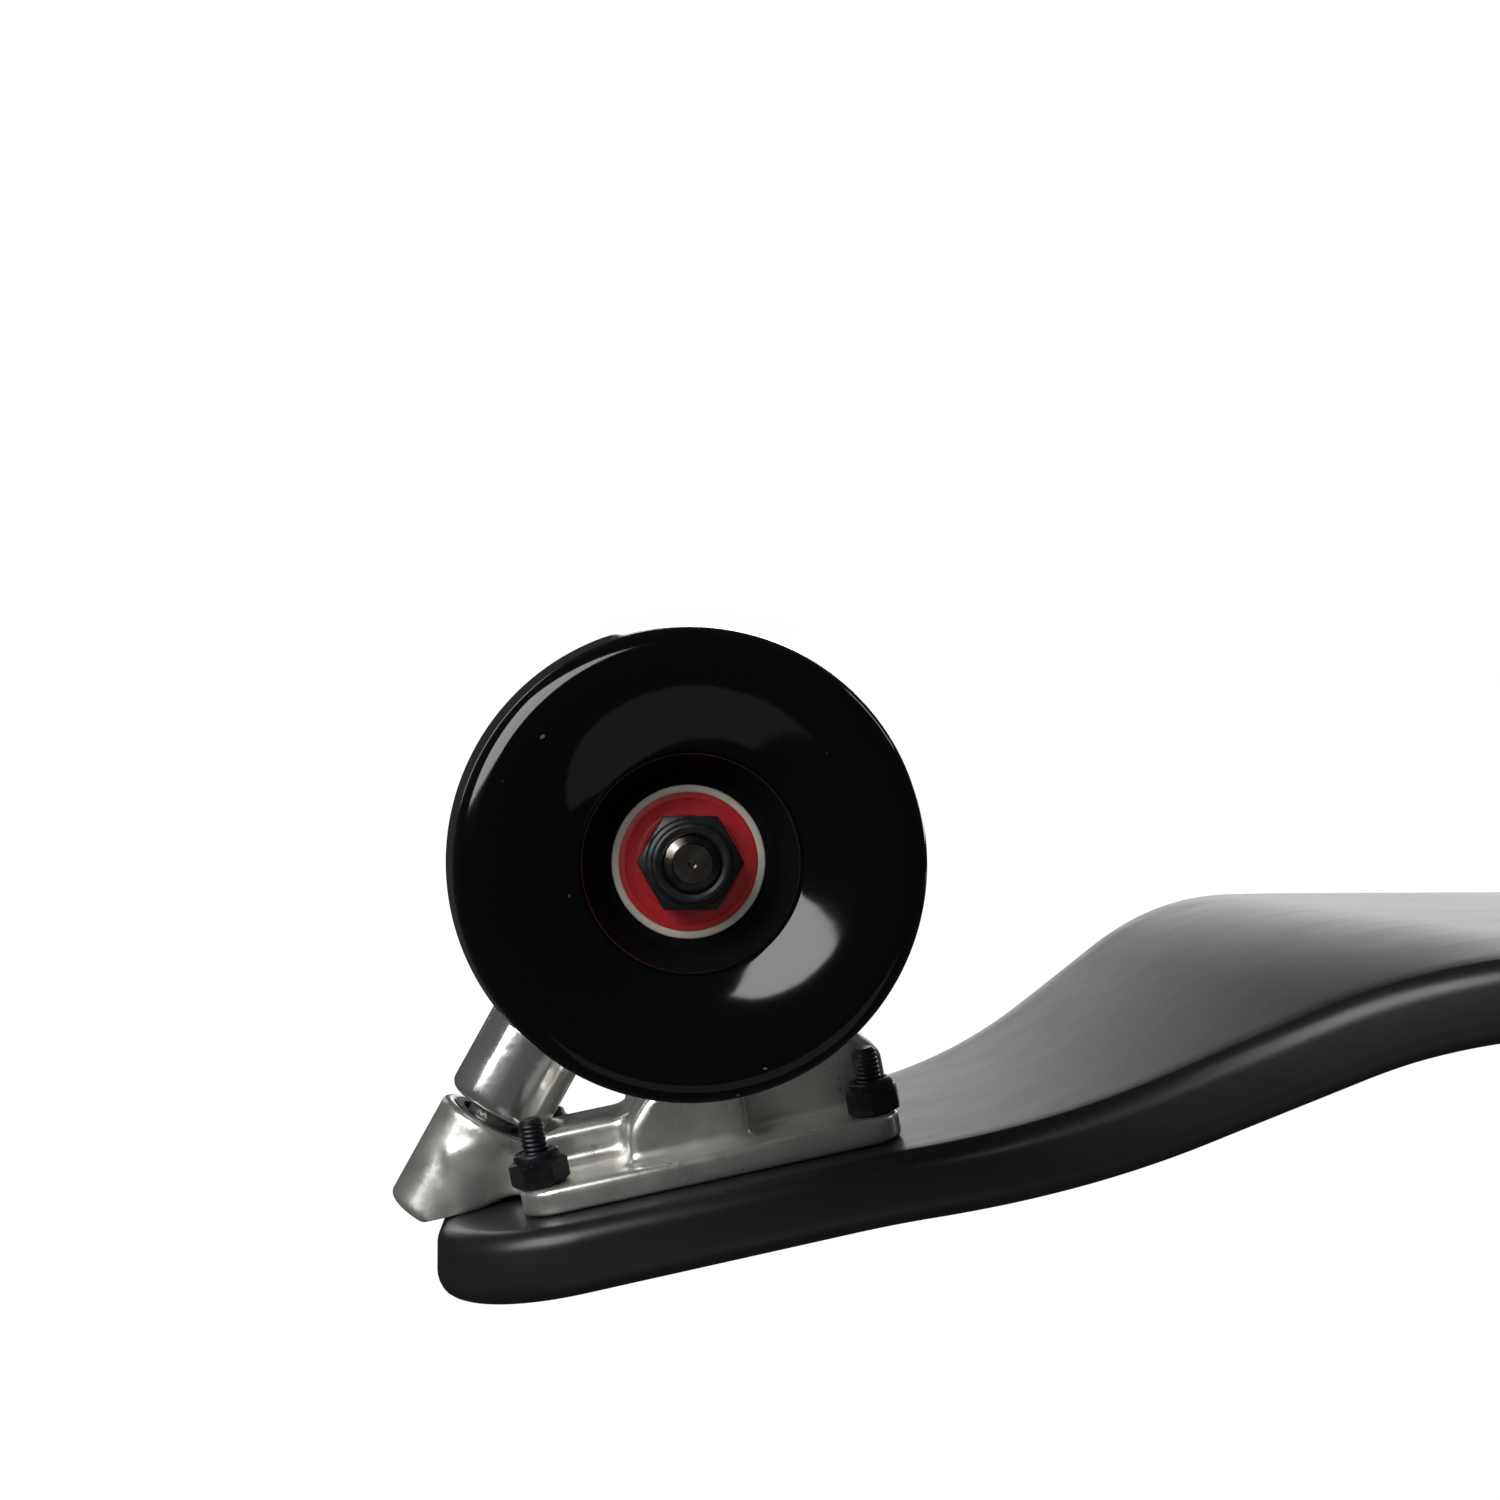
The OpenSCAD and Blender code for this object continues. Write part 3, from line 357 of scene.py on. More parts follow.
slotOf = {entry["node"]: entry["material_slot"] for entry in frame["record"]["subparts"]}
for nodeName, nodeObject in frame["nodes"].items():
    nodeObject.data.materials.clear()
    nodeObject.data.materials.append(materials[slotOf[nodeName]])
print("materials made:", len(materials))


# The piece takes its slot's material, rides on a body and stands for its CAD nodes
def finished(piece, body, slotName, *nodes):
    piece.data.materials.clear()
    piece.data.materials.append(materials[slotName])
    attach(piece, body)
    if nodes:
        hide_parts(*nodes)
    return piece


# Truck frame: u inboard along the plate, v away from the deck, from the plate's middle on the deck
truckSettings = {"plateX": 291.016, "plateZ": 95.303, "slope": 11.2}
slopeAngle = np.radians(truckSettings["slope"])


def truckMatrix(end):
    c, s = np.cos(slopeAngle), np.sin(slopeAngle)
    matrix = np.array([[-c, 0, s, truckSettings["plateX"] * mm], [0, 1, 0, 0],
                       [-s, 0, -c, truckSettings["plateZ"] * mm], [0, 0, 0, 1.0]])
    half = np.diag([-1.0, -1.0, 1.0, 1.0]) if end == "rear" else np.eye(4)
    return half @ matrix


# A truck-frame point in metres in the row frame
def truckPoint(end, u, y, v):
    return (truckMatrix(end) @ np.array([u * mm, y * mm, v * mm, 1.0]))[:3]


def truckDirection(end, u, y, v):
    return truckMatrix(end)[:3, :3] @ np.array([u, y, v], float)


ends = ("front", "rear")
wheels = {"front_left": (1, 1), "front_right": (1, -1), "rear_left": (-1, 1)}  # side along X, side along Y


# deck: its lower face is a curve in the side view, its outline a curve in plan
deckSettings = {
    "thickness": 13, "edgeRadius": 4.5, "arrisRadius": 3.5,
    "width": 190, "noseWidth": 76, "cornerRadius": 28, "noseReach": 53,
    "flareOut": 266, "flareLength": 140,
    "platformIn": 37, "kickRadius": 130, "dropAngle": 30, "dropRun": 24.9, "dipRadius": 85,
    "gripThickness": 0.9, "gripMargin": 7, "gripHole": 5.4,
    "boltAlong": 31.75, "boltAcross": 20.65,
}


# Side curve from the middle out, as X, Z and slope: flat, an arc up to the drop's slope, a straight run,
# an arc back to the nose's slope, and the straight nose; raised by a height square to the curve
def deckCurve(lift):
    d = deckSettings
    kick, drop = slopeAngle, np.radians(d["dropAngle"])
    kickX = truckSettings["plateX"] - d["platformIn"] * np.cos(kick)
    dropX = kickX - d["kickRadius"] * (np.sin(drop) - np.sin(kick))
    dropZ = truckSettings["plateZ"] - d["platformIn"] * np.sin(kick) - d["kickRadius"] * (np.cos(kick) - np.cos(drop))
    dipX, dipZ = dropX - d["dropRun"] * np.cos(drop), dropZ - d["dropRun"] * np.sin(drop)
    flatX, flatZ = dipX - d["dipRadius"] * np.sin(drop), dipZ - d["dipRadius"] * (1 - np.cos(drop))
    a = np.linspace(0, drop, 40)
    dip = np.stack([flatX + d["dipRadius"] * np.sin(a), flatZ + d["dipRadius"] * (1 - np.cos(a)), a], 1)
    a = np.linspace(drop, kick, 40)
    rise = np.stack([dropX + d["kickRadius"] * (np.sin(drop) - np.sin(a)),
                     dropZ + d["kickRadius"] * (np.cos(a) - np.cos(drop)), a], 1)
    tip = 90
    end = [[kickX + tip * np.cos(kick), truckSettings["plateZ"] + (tip - d["platformIn"]) * np.sin(kick), kick]]
    curve = np.vstack([[[0, flatZ, 0]], dip, rise, end])
    return curve[:, 0] - lift * np.sin(curve[:, 2]), curve[:, 1] + lift * np.cos(curve[:, 2])


# Height of the raised side curve at any X
def deckHeight(x, lift):
    along, height = deckCurve(lift)
    return np.interp(np.abs(x), along, height)


# Outline in plan, drawn in by inset: half the nose's front, its corner as a quarter circle, a smooth-step flare
# to the full width, and the straight middle; then mirrored twice
def deckOutline(inset):
    d = deckSettings
    tip = truckSettings["plateX"] + d["noseReach"] * np.cos(slopeAngle) - inset
    r, w = d["cornerRadius"] - inset, d["noseWidth"] / 2 - inset
    front = np.stack([np.full(6, tip), np.linspace(0, w - r, 7)[:6]], 1)
    a = np.radians(np.linspace(0, 90, 25))
    corner = np.stack([tip - r + r * np.cos(a), w - r + r * np.sin(a)], 1)
    t = np.linspace(0, 1, 80)
    flare = np.stack([d["flareOut"] - d["flareLength"] * t,
                      w + (d["width"] - d["noseWidth"]) / 2 * t * t * (3 - 2 * t)], 1)
    neck = np.linspace(corner[-1], flare[0], 12)[1:-1]
    middle = np.stack([np.linspace(flare[-1, 0], 0, 30)[1:], np.full(29, flare[-1, 1])], 1)
    quarter = np.vstack([front, corner, neck, flare, middle])
    half = np.vstack([quarter, (quarter * [-1, 1])[-2::-1]])
    return np.vstack([half, (half * [1, -1])[-2:0:-1]])


# A plate that follows the deck between two heights: the outline carried through a rounded edge section, which is
# a list of inset and height share, and both faces filled in towards a spine on the centre line
def deckPlate(name, low, high, inset, section, rows=14):
    spineEnd = deckOutline(0)[:, 0].max() - deckSettings["cornerRadius"] - 6
    rings = []
    for depth, share in section:
        edge = deckOutline(inset + depth)
        z = deckHeight(edge[:, 0], low) * (1 - share) + deckHeight(edge[:, 0], high) * share
        rings.append(np.column_stack([edge, z]))
    def face(ring, lift):
        foot = np.column_stack([np.clip(ring[:, 0], -spineEnd, spineEnd), np.zeros(len(ring))])
        out = []
        for t in np.linspace(0, 1, rows)[1:]:
            flat = ring[:, :2] * (1 - t) + foot * t
            out.append(np.column_stack([flat, deckHeight(flat[:, 0], lift)]))
        return out
    bottom = face(rings[0], low)[::-1]
    top = face(rings[-1], high)
    allRings = np.array(bottom + rings + top) * mm
    count, steps = allRings.shape[:2]
    return newPiece(name, allRings.reshape(-1, 3), gridFaces(count, steps, False, True), 35)


# Edge section: a crisp arris below, then a round that rolls over to the top face; inset and height share
def roundedEdge(thickness, below, above):
    a = np.radians(np.linspace(0, 90, 9))
    lower = np.stack([below * (1 - np.sin(a)), below * (1 - np.cos(a)) / thickness], 1)
    upper = np.stack([above * (1 - np.cos(a)), 1 - above * (1 - np.sin(a)) / thickness], 1)
    return np.vstack([lower, upper])


d = deckSettings
deckBoard = deckPlate("deckBoard", 0, d["thickness"], 0, roundedEdge(d["thickness"], d["arrisRadius"], d["edgeRadius"]))
finished(deckBoard, "board", "deck_lacquer", "deck")
gripSheet = deckPlate("gripSheet", d["thickness"] - 0.05, d["thickness"] + d["gripThickness"], d["gripMargin"],
                      roundedEdge(d["gripThickness"] + 0.05, 0.02, 0.4))
cutters = []
for end in ends:
    for u in (-1, 1):
        for y in (-1, 1):
            spot = truckPoint(end, u * d["boltAlong"], y * d["boltAcross"], -d["thickness"] - 4)
            cutters.append(turned("cutter", [[d["gripHole"], 0], [d["gripHole"], 8]], spot,
                                  truckDirection(end, 0, 0, 1), 40))
cutter = joined("gripCutter", cutters)
cut = gripSheet.modifiers.new("boltHoles", "BOOLEAN")
cut.operation, cut.object, cut.solver = "DIFFERENCE", cutter, "EXACT"
bpy.context.view_layer.objects.active = gripSheet
bpy.ops.object.modifier_apply(modifier=cut.name)
bpy.data.objects.remove(cutter)
finished(gripSheet, "board", "grip_tape", "grip_tape")
print("deck and grip made")


# Distance from the axis to a regular hexagon's side, by angle
def hexRadius(acrossFlats, steps):
    angle = np.degrees(np.linspace(0, 2 * np.pi, steps, endpoint=False))
    return acrossFlats / 2 / np.cos(np.radians((angle + 30) % 60 - 30))


# Hex lock nut: the hexagon cut by a cone at each end, with a round collar that holds the nylon ring.
# The radius at a height is the smaller of the hexagon's and the cone's
def lockNut(name, acrossFlats, flatsHeight, collarRadius, height, bore, origin, direction, spin=0.0):
    steps = 96
    chamfer = acrossFlats * 0.085
    flats = np.roll(hexRadius(acrossFlats, steps), int(round(spin / 360 * steps)))
    h = np.concatenate([np.linspace(0, chamfer, 6), np.linspace(flatsHeight - chamfer, flatsHeight, 8)])
    cone = acrossFlats / 2 - 0.15 + 1.73 * np.minimum(h, flatsHeight - h)
    radius = np.minimum(flats[None, :], cone[:, None])
    heights = np.repeat(h[:, None], steps, 1)
    edge = 0.6
    a = np.radians(np.linspace(0, 90, 6))
    collar = np.vstack([[[collarRadius + 0.5, flatsHeight], [collarRadius + 0.1, flatsHeight + 0.25]],
                        np.stack([collarRadius - edge * (1 - np.cos(a)), height - edge * (1 - np.sin(a))], 1),
                        [[bore + 0.7, height - 0.05], [bore + 0.25, height - 0.25], [bore + 0.02, height - 0.6],
                         [bore + 0.02, 0.3], [bore + 0.5, 0]]])
    radius = np.vstack([radius, np.repeat(collar[:, :1], steps, 1)])
    heights = np.vstack([heights, np.repeat(collar[:, 1:], steps, 1)])
    return aroundAxis(name, radius, heights, origin, direction, closed=True, smoothAngle=28)


# Threaded bar: radius = mean + depth x triangle wave of (height / pitch - angle / full turn), run out at the ends,
# with a chamfered tip and a small centre mark
def threadedBar(name, length, radius, threadLength, pitch, tipRadius, origin, direction, mark=0.0, steps=40):
    depth = pitch * 0.27
    h = np.concatenate([np.arange(0, threadLength, pitch / 8), [threadLength]])
    angle = np.linspace(0, 1, steps, endpoint=False)
    phase = (h[:, None] / pitch + angle[None, :]) % 1
    wave = np.abs(2 * phase - 1)
    fade = np.clip(np.minimum(h / pitch, (threadLength - h) / pitch), 0, 1)[:, None]
    radii = radius - depth * np.clip(wave * 1.3 - 0.15, 0, 1) * fade
    chamfer = tipRadius + np.maximum(0, h[:, None] - 0.15) * 1.1
    radii = np.minimum(radii, chamfer)
    heights = np.repeat(h[:, None], steps, 1)
    rest = np.array([[radius, threadLength + 0.1], [radius, length]])
    radii = np.vstack([np.full((1, steps), max(mark, 0.4)), np.full((1, steps), max(mark, 0.4) + 0.25),
                       radii, np.repeat(rest[:, :1], steps, 1)])
    heights = np.vstack([np.full((1, steps), 0.5 if mark else 0.02), np.zeros((1, steps)),
                         heights, np.repeat(rest[:, 1:], steps, 1)])
    return aroundAxis(name, radii, heights, origin, direction, smoothAngle=50)


# wheels
wheelSettings = {
    "radius": 35, "halfWidth": 25.5, "treadHalf": 4, "lipRadius": 29.2, "lipRound": 3.2,
    "cupRadius": 15.8, "dishDepth": 4.5,
    "coreHalf": 12.5, "coreRadius": 15, "seatRadius": 12.4, "middle": 84.5, "axle": 300, "height": 35,
    "edgeRound": 1.8,
}
bearingSettings = {"outer": 11, "wall": 1.1, "width": 7, "shieldInner": 6.4, "shield": 0.4}
nutSettings = {"flats": 13, "flatsHeight": 5.6, "collar": 5.55, "height": 8, "washer": 1, "pitch": 1.25, "tip": 1.5}


# Half a wheel's section from the tread's middle to the cup: flat tread, conical shoulder, round lip, a dish whose
# depth grows with the square of the way in, and a round over the cup's edge
def wheelSection():
    w = wheelSettings
    a = np.radians(np.linspace(82, 0, 24))
    lip = np.stack([w["lipRadius"] + w["lipRound"] * np.sin(a), w["halfWidth"] - w["lipRound"] * (1 - np.cos(a))], 1)
    tread = rounded([[w["radius"], 0], [w["radius"], w["treadHalf"]], lip[0]], 2.5)
    lip = np.vstack([tread[:-1], lip])
    t = np.linspace(0, 1, 24)[1:]
    dish = np.stack([w["lipRadius"] + (w["cupRadius"] - w["lipRadius"]) * t,
                     w["halfWidth"] - w["dishDepth"] * t ** 2], 1)
    cupEdge = w["halfWidth"] - w["dishDepth"]
    start = np.arctan(2 * w["dishDepth"] / (w["lipRadius"] - w["cupRadius"]))
    a = np.linspace(start, np.radians(84), 9)[1:]
    over = np.stack([w["cupRadius"] - w["edgeRound"] * (np.sin(a) - np.sin(start)),
                     cupEdge - w["edgeRound"] * (np.cos(start) - np.cos(a))], 1)
    return np.vstack([lip, dish, over, [[over[-1, 0] - 0.1, w["coreHalf"]]]])


# Core: the cup's dull wall, a cone from under the tyre's edge to the bearing's face, and the barrel in the tyre
def wheelCore(name, origin, direction):
    w = wheelSettings
    edge = w["halfWidth"] - w["dishDepth"]
    half = np.array([[bearingSettings["outer"], w["coreHalf"] - 7], [bearingSettings["outer"], w["coreHalf"] + 0.05],
                     [w["seatRadius"], w["coreHalf"] + 0.3],
                     [w["cupRadius"] - 0.3 * w["edgeRound"], edge - w["edgeRound"]],
                     [w["coreRadius"], edge - w["edgeRound"] - 0.3], [w["coreRadius"], 0]])
    return turned(name, np.vstack([half, (half * [1, -1])[-2::-1]]), origin, direction, 96, closed=True)


def wheelTyre(name, origin, direction):
    w = wheelSettings
    half = wheelSection()
    profile = np.vstack([(half * [1, -1])[::-1], half])
    return turned(name, profile, origin, direction, 160, closed=True)


# Outer ring of a bearing between two heights, with rolled edges and a step inside each face for the shield
def bearingRing(name, origin, direction, low, high, outer, wall, step=0.4):
    middle = (low + high) / 2
    half = [[outer - 2, high - step], [outer - wall, high - step], [outer - wall, high], [outer, high]]
    corners = [[outer - 2, middle], *half, *[[r, low + high - h] for r, h in half[::-1]], [outer - 2, middle]]
    return turned(name, rounded(corners, 0.28, 4)[:-1], origin, direction, 96, closed=True, smoothAngle=50)


# Shield, its outer face at a height: a thin dished washer with a raised band near each edge
def bearingShield(name, origin, direction, height, outer, inner, thickness):
    top = [[inner, -0.2], [inner + 0.3, -0.03], [inner + 0.75, -0.03], [inner + 1.0, -0.17], [outer - 1.15, -0.14],
           [outer - 0.8, 0.02], [outer - 0.35, 0.0], [outer, -0.12]]
    profile = np.array(top + [[outer, -thickness], [inner, -thickness]]) + [0, height]
    return turned(name, profile, origin, direction, 96, closed=True, smoothAngle=24)


b, w, n = bearingSettings, wheelSettings, nutSettings
for wheelName, (sideX, sideY) in wheels.items():
    body = wheelName + "_wheel"
    hub = np.array([sideX * w["axle"], sideY * w["middle"], w["height"]]) * mm
    out = (0, sideY, 0)
    finished(wheelTyre(wheelName + "Tyre", hub, out), body, "wheel_urethane", wheelName + "_tyre")
    finished(wheelCore(wheelName + "Core", hub, out), body, "core_plastic", wheelName + "_core")
    low, high = w["coreHalf"] - b["width"], w["coreHalf"]
    rings = [bearingRing("ring", hub, way, low, high, b["outer"], b["wall"]) for way in (out, (0, -sideY, 0))]
    finished(joined(wheelName + "Rings", rings), body, "bearing_steel", wheelName + "_bearing_outer_rings")
    shields = [bearingShield("shield", hub, way, high, b["outer"] - b["wall"], b["shieldInner"], b["shield"])
               for way in (out, (0, -sideY, 0))]
    finished(joined(wheelName + "Shields", shields), body, "shield_red", wheelName + "_bearing_shields")
print("wheels made")

# axles, nuts and washers
for end in ends:
    sideX = 1 if end == "front" else -1
    bars, nuts, washers = [], [], []
    for wheelName, (wheelX, sideY) in wheels.items():
        if wheelX != sideX:
            continue
        nutFace = w["middle"] + w["coreHalf"] + n["washer"]
        tip = nutFace + n["height"] + n["tip"]
        centre = np.array([sideX * w["axle"], 0, w["height"]]) * mm
        at = lambda y: centre + np.array([0, sideY * y * mm, 0])
        bars.append(threadedBar("bar", tip, 4, 13, n["pitch"], 2.7, at(tip), (0, -sideY, 0), mark=0.35))
        nuts.append(lockNut("nut", n["flats"], n["flatsHeight"], n["collar"], n["height"], 4, at(nutFace),
                            (0, sideY, 0), spin=30))
        for face in (nutFace - n["washer"], w["middle"] - w["coreHalf"] - n["washer"]):
            profile = rounded([[4, 0.2], [4, 0], [5.8, 0], [5.8, 1], [4, 1], [4, 0.5]], 0.15, 3)
            washers.append(turned("washer", profile, at(face), (0, sideY, 0), 48, closed=True))
    hanger = end + "_truck_hanger"
    if end == "rear":
        low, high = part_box("rear_axle")
        length = -low[1] / mm
        centre = np.array([-w["axle"], 0, w["height"]]) * mm
        bars.append(turned("bar", [[3.2, 0], [4, 0.8], [4, length]], centre + np.array([0, low[1], 0]), (0, 1, 0), 40))
    finished(joined(end + "Axle", bars), hanger, "axle_steel", end + "_axle")
    finished(joined(end + "AxleNuts", nuts), hanger, "axle_nut_steel", end + "_axle_nuts")
    finished(joined(end + "Washers", washers), hanger, "washer_steel", end + "_axle_washers")
print("axles and nuts made")

# truck bolts with hex sockets, and their lock nuts
boltSettings = {"radius": 2.4, "end": 17, "thread": 17, "pitch": 0.85, "headRadius": 4.5,
                "headHeight": 2.3, "socket": 3.2,
                "nutFlats": 9.5, "nutFlatsHeight": 4.4, "nutCollar": 4.3, "nutHeight": 6, "plate": 5}


# Countersunk head: cone from the shank, flat top, and a six-sided socket down the middle
def socketHead(name, origin, direction):
    s = boltSettings
    steps = 48
    socket = hexRadius(s["socket"], steps)
    round_ = lambda r: np.full(steps, float(r))
    radius = [round_(s["radius"]), round_(s["headRadius"]), round_(s["headRadius"]), round_(s["headRadius"] - 0.25),
              socket + 0.25, socket, socket, socket * 0.3]
    height = [-s["headHeight"], -0.5, -0.25, 0, 0, -0.2, -1.6, -1.9]
    heights = np.repeat(np.array(height)[:, None], steps, 1)
    return aroundAxis(name, np.array(radius), heights, origin, direction, smoothAngle=30)


s, d = boltSettings, deckSettings
bolts, nuts = [], []
for end in ends:
    for i, u in enumerate((-1, 1)):
        for j, y in enumerate((-1, 1)):
            at = lambda v: truckPoint(end, u * d["boltAlong"], y * d["boltAcross"], v)
            away, down = truckDirection(end, 0, 0, 1), truckDirection(end, 0, 0, -1)
            bolts.append(threadedBar("bolt", s["end"] + d["thickness"] - 1, s["radius"], s["thread"], s["pitch"], 1.8,
                                     at(s["end"]), down, mark=0.0, steps=28))
            bolts.append(socketHead("head", at(-d["thickness"] - 0.15), down))
            nuts.append(lockNut("nut", s["nutFlats"], s["nutFlatsHeight"], s["nutCollar"], s["nutHeight"], s["radius"],
                                at(s["plate"]), away, spin=17 * (i + 2 * j)))
finished(joined("truckBolts", bolts), "board", "black_steel", "truck_bolts")
finished(joined("truckNuts", nuts), "board", "black_steel", "truck_nuts")
print("truck bolts made")


# The surface where a distance function is zero: one point in each grid cell it crosses, pulled on to it along
# the gradient, and one quad round each grid edge it crosses. Distances are in truck-frame millimetres
def meltedPiece(name, distance, low, high, step, matrix):
    axes = [np.arange(a - 1.5 * step, b + 2.5 * step, step) for a, b in zip(low, high)]
    grid = np.stack(np.meshgrid(*axes, indexing="ij"), -1)
    size = np.array(grid.shape[:3])
    value = distance(grid.reshape(-1, 3)).reshape(size)
    inside = value < 0
    corners = [(i, j, k) for i in (0, 1) for j in (0, 1) for k in (0, 1)]
    part = lambda a, c: a[c[0]:size[0] - 1 + c[0], c[1]:size[1] - 1 + c[1], c[2]:size[2] - 1 + c[2]]
    filled = sum(part(inside, c).astype(int) for c in corners)
    used = (filled > 0) & (filled < 8)
    number = -np.ones(used.shape, int)
    number[used] = np.arange(used.sum())
    total, weight = np.zeros((used.sum(), 3)), np.zeros((used.sum(), 1))
    for a in corners:
        for axis in range(3):
            if a[axis] == 0:
                b = tuple(1 if n == axis else v for n, v in enumerate(a))
                va, vb = part(value, a)[used], part(value, b)[used]
                crossed = (va < 0) != (vb < 0)
                t = (va / np.where(crossed, va - vb, 1))[:, None]
                pa, pb = part(grid, a)[used], part(grid, b)[used]
                total += np.where(crossed[:, None], pa + t * (pb - pa), 0)
                weight += crossed[:, None]
    points = total / weight
    nudge = 0.02
    for _ in range(4):
        here = distance(points)
        slope = np.stack([distance(points + nudge * np.eye(3)[n]) - here for n in range(3)], 1) / nudge
        move = -here[:, None] * slope / np.maximum((slope ** 2).sum(1, keepdims=True), 0.2)
        points = points + np.clip(move, -step / 2, step / 2)
    quads = []
    for axis in range(3):
        b, c = (axis + 1) % 3, (axis + 2) % 3
        ahead = np.moveaxis(inside, axis, 0)
        where = np.argwhere(np.moveaxis(ahead[:-1] != ahead[1:], 0, axis))
        where = where[np.all((where[:, [b, c]] > 0) & (where[:, [b, c]] < size[[b, c]] - 1), axis=1)]
        cells = []
        for stepB, stepC in ((0, 0), (-1, 0), (-1, -1), (0, -1)):
            cell = where.copy()
            cell[:, b] += stepB
            cell[:, c] += stepC
            cells.append(number[tuple(cell.T)])
        quads.append(np.stack(cells, 1))
    piece = newPiece(name, points * mm, np.vstack(quads), 50)
    piece.data.transform(Matrix(matrix.tolist()))
    return piece


# Union of two distances with a fillet of about k
def filleted(a, b, k):
    h = np.clip(0.5 + 0.5 * (b - a) / k, 0, 1)
    return b + (a - b) * h - k * h * (1 - h)


# What a has outside b, or inside both, its new edges eased by k
def cutBy(a, b, k):
    return -filleted(-a, b, k)


def kept(a, b, k):
    return -filleted(-a, -b, k)


# Rod from start to end whose rims are rounded by edge
def rod(p, start, end, radius, edge=0.0):
    start, end = np.array(start, float), np.array(end, float)
    length = np.linalg.norm(end - start)
    along = (p - start) @ ((end - start) / length)
    across = np.linalg.norm(p - start - along[:, None] * (end - start) / length, axis=1)
    q = np.stack([across - radius + edge, np.abs(along - length / 2) - length / 2 + edge], 1)
    return np.linalg.norm(np.maximum(q, 0), axis=1) + np.minimum(q.max(1), 0) - edge


# Convex outline, anticlockwise in the first two of the given directions, carried along the third between limits
def prism(p, outline, directions, low, high, edge):
    q = p @ np.array(directions, float).T
    outline = np.array(outline, float)
    d = np.maximum(low - q[:, 2], q[:, 2] - high)
    for a, b in zip(outline, np.roll(outline, -1, 0)):
        side = (b - a) / np.linalg.norm(b - a)
        d = kept(d, (q[:, :2] - a) @ np.array([side[1], -side[0]]), edge)
    return d


trucks = {
    "plateLength": 71.8, "plateWidth": 56, "plateThickness": 5, "plateCorner": 7,
    "foot": (-50.01, 0, 3.8), "pivotAngle": 50, "bossRadius": 10.3, "bossStart": -7, "bossEnd": 15,
    "ball": 8, "cupRadius": 8, "armRadius": 10.4, "armStart": 17, "armEnd": 69, "noseRadius": 5,
    "kingpinU": 22, "ringHeight": 36, "lean": 3, "ringRadius": 13, "ringHalf": 4, "seat": -17.5, "nutSeat": 14.5,
    "axleU": 2.9, "axleV": 60.9, "tubeRadius": 8.5, "tubeEnd": 71, "motorTubeEnd": 61, "hubRadius": 10, "hubHalf": 32,
    "boltAlong": 31.75, "boltAcross": 20.65, "nutRelief": 6.4,
}
k = trucks
pivotWay = np.array([np.cos(np.radians(k["pivotAngle"])), 0, np.sin(np.radians(k["pivotAngle"]))])
pivotSide = np.array([pivotWay[2], 0, -pivotWay[0]])
kingpinWay = np.array([-np.sin(np.radians(k["lean"])), 0, np.cos(np.radians(k["lean"]))])
ringMiddle = np.array([k["kingpinU"], 0, k["ringHeight"]])
pivotAt = lambda s: np.array(k["foot"]) + s * pivotWay
kingpinAt = lambda s: ringMiddle + s * kingpinWay


# Plate with rounded corners, a wide block that ties the bolts, a narrow block under the kingpin, a shelf and the
# slanted pivot boss, melted together
def baseplateDistance(p):
    corner = k["plateCorner"]
    q = np.abs(p[:, :2]) - (np.array([k["plateLength"], k["plateWidth"]]) / 2 - corner)
    outline = np.linalg.norm(np.maximum(q, 0), axis=1) + np.minimum(q.max(1), 0) - corner
    plate = kept(outline, np.abs(p[:, 2] - k["plateThickness"] / 2) - k["plateThickness"] / 2, 1.2)
    side = [[1, 0, 0], [0, 0, 1], [0, 1, 0]]
    wide = prism(p, [[-15, 1], [8, 1], [8, 17.6], [-8.7, 17.6], [-15, 10.7]], side, -22, 22, 2.2)
    narrow = prism(p, [[0, 1], [36, 1], [36, 15], [31, 20], [0, 30]], side, -13.5, 13.5, 1.3)
    narrow = kept(narrow, (p - kingpinAt(k["seat"])) @ kingpinWay, 0.8)
    shelf = prism(p, [[-48, 1], [-14, 1], [-14, 11.5], [-48, 11.5]], side, -9, 9, 1.5)
    boss = rod(p, pivotAt(k["bossStart"]), pivotAt(k["bossEnd"]), k["bossRadius"], 1.4)
    d = filleted(filleted(plate, wide, 2.5), narrow, 2.5)
    d = filleted(filleted(d, shelf, 2.5), boss, 3)
    for u in (-1, 1):
        for y in (-1, 1):
            spot = np.array([u * k["boltAlong"], y * k["boltAcross"], 0])
            d = cutBy(d, rod(p, spot + [0, 0, k["plateThickness"]], spot + [0, 0, 60], k["nutRelief"]), 0.8)
    d = cutBy(d, rod(p, pivotAt(k["ball"]), pivotAt(60), k["cupRadius"]), 0.6)
    d = cutBy(d, rod(p, pivotAt(k["bossEnd"]), pivotAt(60), k["bossRadius"] + 2.5), 0.6)
    return kept(d, 0.02 - p[:, 2], 0.3)


